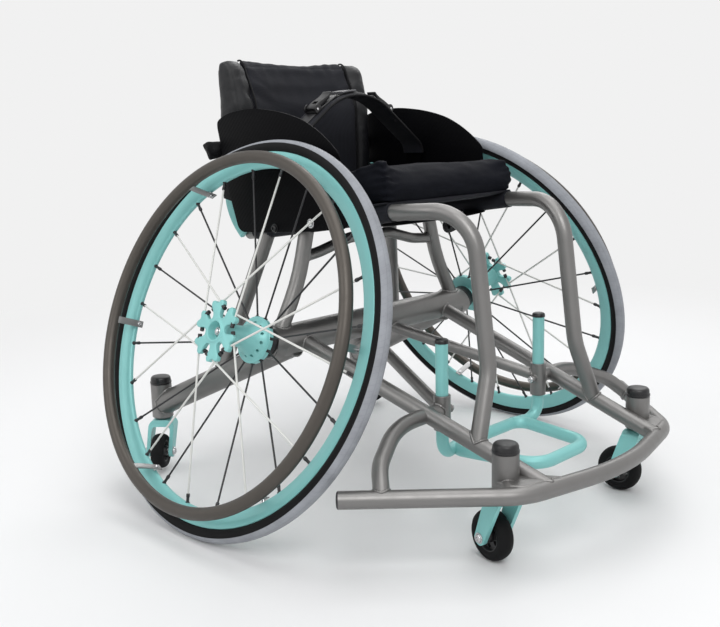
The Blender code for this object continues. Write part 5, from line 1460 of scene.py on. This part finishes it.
def bolster_creases(point):
    seam = abs(abs(point.x) - (BACK_HALF - 0.0045))
    total = -0.0012 * bell(seam, 0.0016) if point.y < 0.19 else 0.0
    folds = noise.noise(Vector((point.x * 20, point.y * 30, point.z * 26)))
    return total + 0.0016 * folds + 0.0005 * noise.noise(point * 95.0)


def add_back():
    panel = inflated(stuffed((48, 46, 6), panel_place), 0.004, 1.6, 12)
    creased(panel, panel_creases)
    finish(dressed(panel, "cloth"), "back_panel", "frame", "black_fabric", ["backrest_panel"], 80)
    welts = []
    for side in (1, -1):
        name = name_of(side)
        bolster = inflated(stuffed((16, 48, 12), bolster_place(side)), 0.004, 2.4, 12)
        creased(bolster, bolster_creases)
        replaced = ["back_bolster_" + name]
        finish(dressed(bolster, "leather"), "bolster_" + name, "frame", "black_leather", replaced, 80)
        line = [Vector((side * (BACK_SEAM + 0.0002), back_front(z) - 0.0012, z)) for z in
                (0.512, 0.54, 0.57, 0.60, 0.63, 0.66, 0.69, 0.715, 0.731)]
        line += [Vector((side * BACK_SEAM, 0.1915, 0.7385)), Vector((side * BACK_SEAM, 0.199, 0.7385))]
        welts.append(swept(smooth_line(line, 5), circle(0.0016, 10)))
    finish(dressed(merged(welts), "webbing"), "back_welts", "frame", "black_fabric", (), 60)
    rolls = []
    for side in (1, -1):
        spots = both_ways(side, ROLL_SPOTS)
        rolls.append(swept(smooth_line(spots, 5), [(u * 0.62, v * 1.25) for u, v in circle(0.0118, 18)]))
    rolls = creased(softened(merged(rolls)), lambda point: 0.0034 * noise.noise(point * 85.0))
    finish(dressed(rolls, "webbing"), "back_strap_rolls", "frame", "black_fabric", (), 70)


BRACKET_X = 0.1717
PLATE_HALF = 0.018
PLATE_PATH = ((0.137, 0.4445), (0.158, 0.468), (0.170, 0.496), (0.168, 0.520), (0.1760, 0.5420))


def add_brackets():
    """The mint plates with their pegs into the backrest, and the black bands round each plate."""
    line = smooth_line(PLATE_PATH, 6)
    left, right = [], []
    for k, spot in enumerate(line):
        along = (line[min(k + 1, len(line) - 1)] - line[max(k - 1, 0)]).normalized()
        normal = Vector((-along.y, along.x))
        left.append(spot + normal * PLATE_HALF)
        right.append(spot - normal * PLATE_HALF)
    outline = right + left[::-1]
    for side in (1, -1):
        name = name_of(side)
        x = side * BRACKET_X
        arm = plate(outline, 0.0088, Matrix.Translation((x, 0, 0)) @ SIDEWAYS, 0.0018, 3)
        peg = rod((x, 0.176, 0.536), (side * 0.1480, 0.176, 0.536), 0.0068, 24)
        bracket = merged([dressed(arm, "mint"), dressed(peg, "mint")])
        finish(bracket, "bracket_" + name, "frame", "mint_paint", ["back_bracket_" + name], 40)
        band = stuffed((4, 8, 2), lambda a, b, c: Vector((
            x + a * 0.0064, 0.1695 + b * 0.0205, 0.5085 + c * 0.0125 + 0.004 * b)))
        wrap = stuffed((4, 8, 2), lambda a, b, c: Vector((
            x + a * 0.0060, 0.1735 + b * 0.0215, 0.5350 + c * 0.0145 + 0.004 * b)))
        bands = merged([bevelled(band, 0.001, 2), bevelled(wrap, 0.002, 3)])
        finish(dressed(bands, "webbing"), "bracket_band_" + name, "frame", "black_webbing", (), 40)


GUARD_X = 0.1800
GUARD_THICK = 0.0025
GUARD_TOP = (
    (0.171, 0.516), (0.1885, 0.600), (0.1938, 0.626), (0.1885, 0.6365), (0.165, 0.6455), (0.138, 0.6500),
    (0.100, 0.6525),
    (0.064, 0.6505), (0.021, 0.6445), (-0.022, 0.6335), (-0.054, 0.6190), (-0.078, 0.6040), (-0.096, 0.5900),
    (-0.1075, 0.5785), (-0.1110, 0.5690), (-0.1100, 0.5580), (-0.1220, 0.5000),
)
GUARD_FOOT = ((-0.128, 0.463), (-0.012, 0.452), (0.146, 0.443))


def guard_line():
    """The guard's outline: a smooth curve round its top, and straight runs with small arcs below."""
    top = smooth_line([Vector((*spot, 0)) for spot in GUARD_TOP], 6)
    corners = [(Vector((*spot, 0)), 0.020) for spot in GUARD_FOOT]
    foot = bent([(top[-1], 0.0)] + corners + [(top[0], 0.0)], math.radians(10))
    return [point.to_2d() for point in top[:-1] + foot[:-1]]


def add_guards():
    """The laminate plates, each on two spacers with a steel bolt in front and a black one behind."""
    for side in (1, -1):
        name = name_of(side)
        out = Vector((side, 0, 0))
        place = Matrix.Translation((side * GUARD_X, 0, 0)) @ SIDEWAYS
        parts, heads = [plate(guard_line(), GUARD_THICK, place, 0.0006, 2)], []
        for y, look in ((-0.040, "steel"), (0.050, "plastic")):
            spot = seat_tube_at(y)
            near = mirrored((spot.x + MAIN_TUBE - 0.001, y, spot.z), side)
            parts.append(rod(near, mirrored((GUARD_X - 0.0010, y, spot.z), side), 0.0078, 28))
            start = mirrored((GUARD_X + GUARD_THICK / 2, y, spot.z), side)
            washer = rod(start, start + out * 0.0010, 0.0078, 28, 0.0002)
            head = moved(bolt_head(0.0058, 0.0036), aim(start + out * 0.0010, start + out * 0.01))
            heads.append(dressed(merged([washer, head]), look))
        guard = dressed(merged(parts), "carbon")
        finish(guard, "guard_" + name, "frame", "black_carbon", ["side_guard_" + name], 40)
        finish(merged(heads), "guard_bolts_" + name, "frame", "bright_steel", (), 40)


# Lap belt

BUCKLE_X = 0.067
BUCKLE_LENGTH = 0.058
BELT_STEP = math.radians(17.0)


def belt_path(step=BELT_STEP):
    half = [((0.1700, 0.060, 0.475), 0.0), ((0.1700, 0.045, 0.580), 0.035), ((0.042, 0.045, 0.673), 0.140)]
    return bent(half + [(mirrored(point, -1), radius) for point, radius in reversed(half)], step)


def buckle_frame(side):
    """A frame on the belt's outer face at a buckle: X along the belt to the side, Z out of the belt."""
    path = belt_path()
    index = max(k for k, point in enumerate(path) if point.x >= BUCKLE_X)
    outer, inner = path[index], path[index + 1]
    middle = outer.lerp(inner, (outer.x - BUCKLE_X) / (outer.x - inner.x))
    along = mirrored(outer - inner, side).normalized()
    across = Vector((0, 1, 0)) * side
    turn = Matrix((along, across, along.cross(across))).transposed().to_4x4()
    return Matrix.Translation(mirrored(middle, side)) @ turn


def strap_section(width, thick):
    """A flat strap's section with rounded edges, the width first."""
    r = thick / 2
    half = width / 2 - r
    return arc((half, 0), r, -90, 90, 6) + arc((-half, 0), r, 90, 270, 6)


def belt_strip(path, width, thick, lift=0.0):
    """A strap along the belt's plane, its width along Y, raised outwards from the belt's middle line."""
    rows = []
    for k, point in enumerate(path):
        along = (path[min(k + 1, len(path) - 1)] - path[max(k - 1, 0)]).normalized()
        out = Vector((0, 1, 0)).cross(along).normalized()
        rows.append((point + out * lift, out))
    section = strap_section(width, thick)
    verts = [point + Vector((0, u, 0)) + out * v for point, out in rows for u, v in section]
    size, count = len(section), len(rows)
    faces = [
        (k * size + m, k * size + (m + 1) % size, (k + 1) * size + (m + 1) % size, (k + 1) * size + m)
        for k in range(count - 1) for m in range(size)
    ]
    faces += [tuple(range(size))[::-1], tuple(range((count - 1) * size, count * size))]
    return outward(object_of("strip", verts, faces))


def add_belt():
    """The padded belt with its piped edges, thin wings, the ratchet straps on it and their buckles."""
    path = belt_path(math.radians(5.0))
    fine = []
    for a, b in zip(path, path[1:]):
        count = max(1, round((b - a).length / 0.006))
        fine += [a.lerp(b, k / count) for k in range(count)]
    fine.append(path[-1])
    soft_line = [point for point in fine if point.z > 0.566]
    parts = [dressed(belt_strip(soft_line, 0.045, 0.0066), "cloth")]
    for way in (1, -1):
        wing = [point for point in fine if point.z <= 0.572 and point.x * way > 0]
        parts.append(dressed(belt_strip(wing, 0.036, 0.0026), "wing"))
        edge = [point + Vector((0, way * 0.0222, 0)) for point in soft_line]
        parts.append(dressed(tube(edge, 0.0024, 10), "webbing"))
    strap = [point for point in fine if abs(point.x) < 0.118 and point.z > 0.60]
    parts.append(dressed(belt_strip(strap, 0.024, 0.0020, 0.0044), "plastic"))
    teeth = []
    for low, high in zip(strap, strap[1:]):
        if abs(low.x) < 0.040:
            along = (high - low).normalized()
            lift = Vector((0, 1, 0)).cross(along)
            turn = Matrix((along, Vector((0, 1, 0)), lift)).transposed().to_4x4()
            place = Matrix.Translation(low + lift * 0.0044) @ turn
            teeth.append(moved(block((-0.0012, -0.0085, 0.0006), (0.0012, 0.0085, 0.0024), 0.0005, 1), place))
    parts.append(dressed(merged(teeth), "plastic"))
    loop = [point for point in fine if -0.034 < point.x < 0.004]
    parts.append(dressed(belt_strip(loop, 0.032, 0.0036, 0.0078), "loop"))
    for side in (1, -1):
        place = buckle_frame(side)
        half = BUCKLE_LENGTH / 2
        shapes = [block((-half, -0.014, 0.0030), (half, 0.014, 0.0066), 0.0014, 2)]
        cheek = arc((half - 0.0075, 0.0082), 0.0078, -40, 200, 16)
        cheek += [(half - 0.026, 0.0050), (half - 0.026, 0.0030), (half, 0.0030)]
        for way in (-1, 1):
            turn = Matrix.Translation((0, way * 0.0127, 0)) @ UPRIGHT
            shapes.append(plate(cheek, 0.0028, turn, 0.0008, 2))
        parts.append(dressed(moved(merged(shapes), place), "plastic"))
        pin = rod((half - 0.006, -0.0150, 0.0089), (half - 0.006, 0.0150, 0.0089), 0.0022, 16, 0.0004)
        screw = moved(bolt_head(0.0034, 0.0016), Matrix.Translation((-0.022, 0, 0.0066)))
        parts.append(dressed(moved(merged([pin, screw]), place), "steel"))
    tail = smooth_line([
        (0.086, 0.040, 0.655), (0.091, 0.034, 0.645), (0.094, 0.030, 0.636), (0.0985, 0.026, 0.627),
    ], 5)
    parts.append(dressed(swept(tail, strap_section(0.0050, 0.0016), up=(0, 1, 0)), "webbing"))
    belt = merged(parts)
    finish(belt, "belt", "frame", "black_webbing", ["lap_belt"], 45)
    for side in (1, -1):
        add_lever(side)


def add_lever(side):
    name = name_of(side)
    where = CHAIR @ buckle_frame(side) @ Matrix.Translation((BUCKLE_LENGTH / 2 - 0.006, 0, 0.0087))
    profile = [
        (0.0030, -0.0016), (0.0036, 0.0016), (0.0020, 0.0044), (-0.006, 0.0058), (-0.018, 0.0062), (-0.030, 0.0056),
        (-0.040, 0.0062), (-0.0455, 0.0078), (-0.0470, 0.0066), (-0.0440, 0.0036), (-0.036, 0.0008), (-0.028, -0.0008),
        (-0.010, -0.0022), (0.0, -0.0028),
    ]
    arm = plate(smooth_line(profile, 3, closed=True), 0.0205, UPRIGHT, 0.0008, 2)
    slot = block((-0.016, -0.0050, -0.01), (-0.008, 0.0050, 0.02))
    combine(arm, [slot], "DIFFERENCE")
    replaced = ["ratchet_lever_" + name]
    finish(dressed(arm, "plastic"), "lever_" + name, "lever_" + name, "black_plastic", replaced, 40, where)


# Floor, light and the carried-over nodes


PALE = (0.88, 0.88, 0.88, 1.0)
FADE_START, FADE_END = 1.0, 2.2
WALL_START, COVE, FLOOR_LENGTH = 2.6, 1.6, 7.0


def seen_by_eye(tree):
    """One for the rays that show a background: straight to the camera, mirrored, or through glass."""
    path = node(tree, "ShaderNodeLightPath")
    seen = maths(tree, "MAXIMUM", path.outputs["Is Camera Ray"], path.outputs["Is Glossy Ray"])
    return maths(tree, "MAXIMUM", seen, path.outputs["Is Transmission Ray"])


def add_floor():
    """A pale floor with a coved wall, which fades away from the chair into the background's colour."""
    look, tree, shader = shader_of("floor_paper", 0.75)
    shader.inputs["Base Color"].default_value = (0.84, 0.84, 0.84, 1.0)
    coords = node(tree, "ShaderNodeTexCoord").outputs["Object"]
    reach = node(tree, "ShaderNodeVectorMath", {0: coords}, operation="LENGTH")
    far = range_of(tree, reach.outputs["Value"], FADE_START, FADE_END, 0.0, 1.0)
    far = maths(tree, "MULTIPLY", far, seen_by_eye(tree))
    paper = node(tree, "ShaderNodeEmission", {"Color": PALE, "Strength": 1.0})
    faded = node(tree, "ShaderNodeMixShader", {0: far, 1: shader.outputs[0], 2: paper.outputs[0]})
    tree.links.new(faded.outputs[0], tree.nodes["Material Output"].inputs["Surface"])
    turns = [math.pi / 2 * k / 12 for k in range(13)]
    cove = [(WALL_START + COVE * math.sin(turn), COVE - COVE * math.cos(turn)) for turn in turns]
    profile = [(-FLOOR_LENGTH, 0.0)] + cove + [(WALL_START + COVE, FLOOR_LENGTH)]
    verts = [(across, away, up) for away, up in profile for across in (-9.0, 9.0)]
    faces = [(2 * k, 2 * k + 1, 2 * k + 3, 2 * k + 2) for k in range(len(profile) - 1)]
    floor = object_of("floor", verts, faces)
    floor.data.shade_smooth()
    floor.rotation_euler = (0, 0, -CAMERA_YAW)
    floor.data.materials.append(look)


def add_world():
    world = bpy.data.worlds.new("studio")
    bpy.context.scene.world = world
    world.use_nodes = True
    tree = world.node_tree
    back = tree.nodes["Background"]
    back.inputs["Color"].default_value = (0.93, 0.94, 0.96, 1.0)
    back.inputs["Strength"].default_value = 0.55
    pale = node(tree, "ShaderNodeBackground", {"Color": PALE, "Strength": 1.0})
    mix = node(tree, "ShaderNodeMixShader", {0: seen_by_eye(tree), 1: back.outputs[0], 2: pale.outputs[0]})
    tree.links.new(mix.outputs[0], tree.nodes["World Output"].inputs["Surface"])
    bpy.context.scene.view_settings.view_transform = "Standard"


def add_lights():
    add_light("key", (-2.2, -2.6, 3.2), (0, 0, 0.2), (2.4, 2.4), 66)
    add_light("fill", (-3.2, 1.2, 2.2), (0, 0, 0.3), (2.5, 2.0), 23)
    add_light("rim", (2.4, 1.4, 2.6), (0, 0, 0.30), (2.4, 1.6), 30)
    add_light("top", (0.2, -0.2, 3.6), (0, 0, 0), (2.8, 2.8), 43)


add_camera()
for wheel_side in (1, -1):
    add_wheel(wheel_side)
    add_side_frame(wheel_side)
add_camber_frame()
add_bumper()
add_cross_tube()
add_footrest()
for caster_kind in CASTERS:
    for caster_side in (1, -1):
        add_caster(caster_kind, caster_side)
add_cushion()
add_sling()
add_back()
add_brackets()
add_guards()
add_belt()
for node_name in ("hub_bearings_left", "hub_bearings_right"):
    carried = frame["nodes"][node_name]
    carried.data.materials.clear()
    carried.data.materials.append(LOOKS["steel"])
add_floor()
add_world()
add_lights()
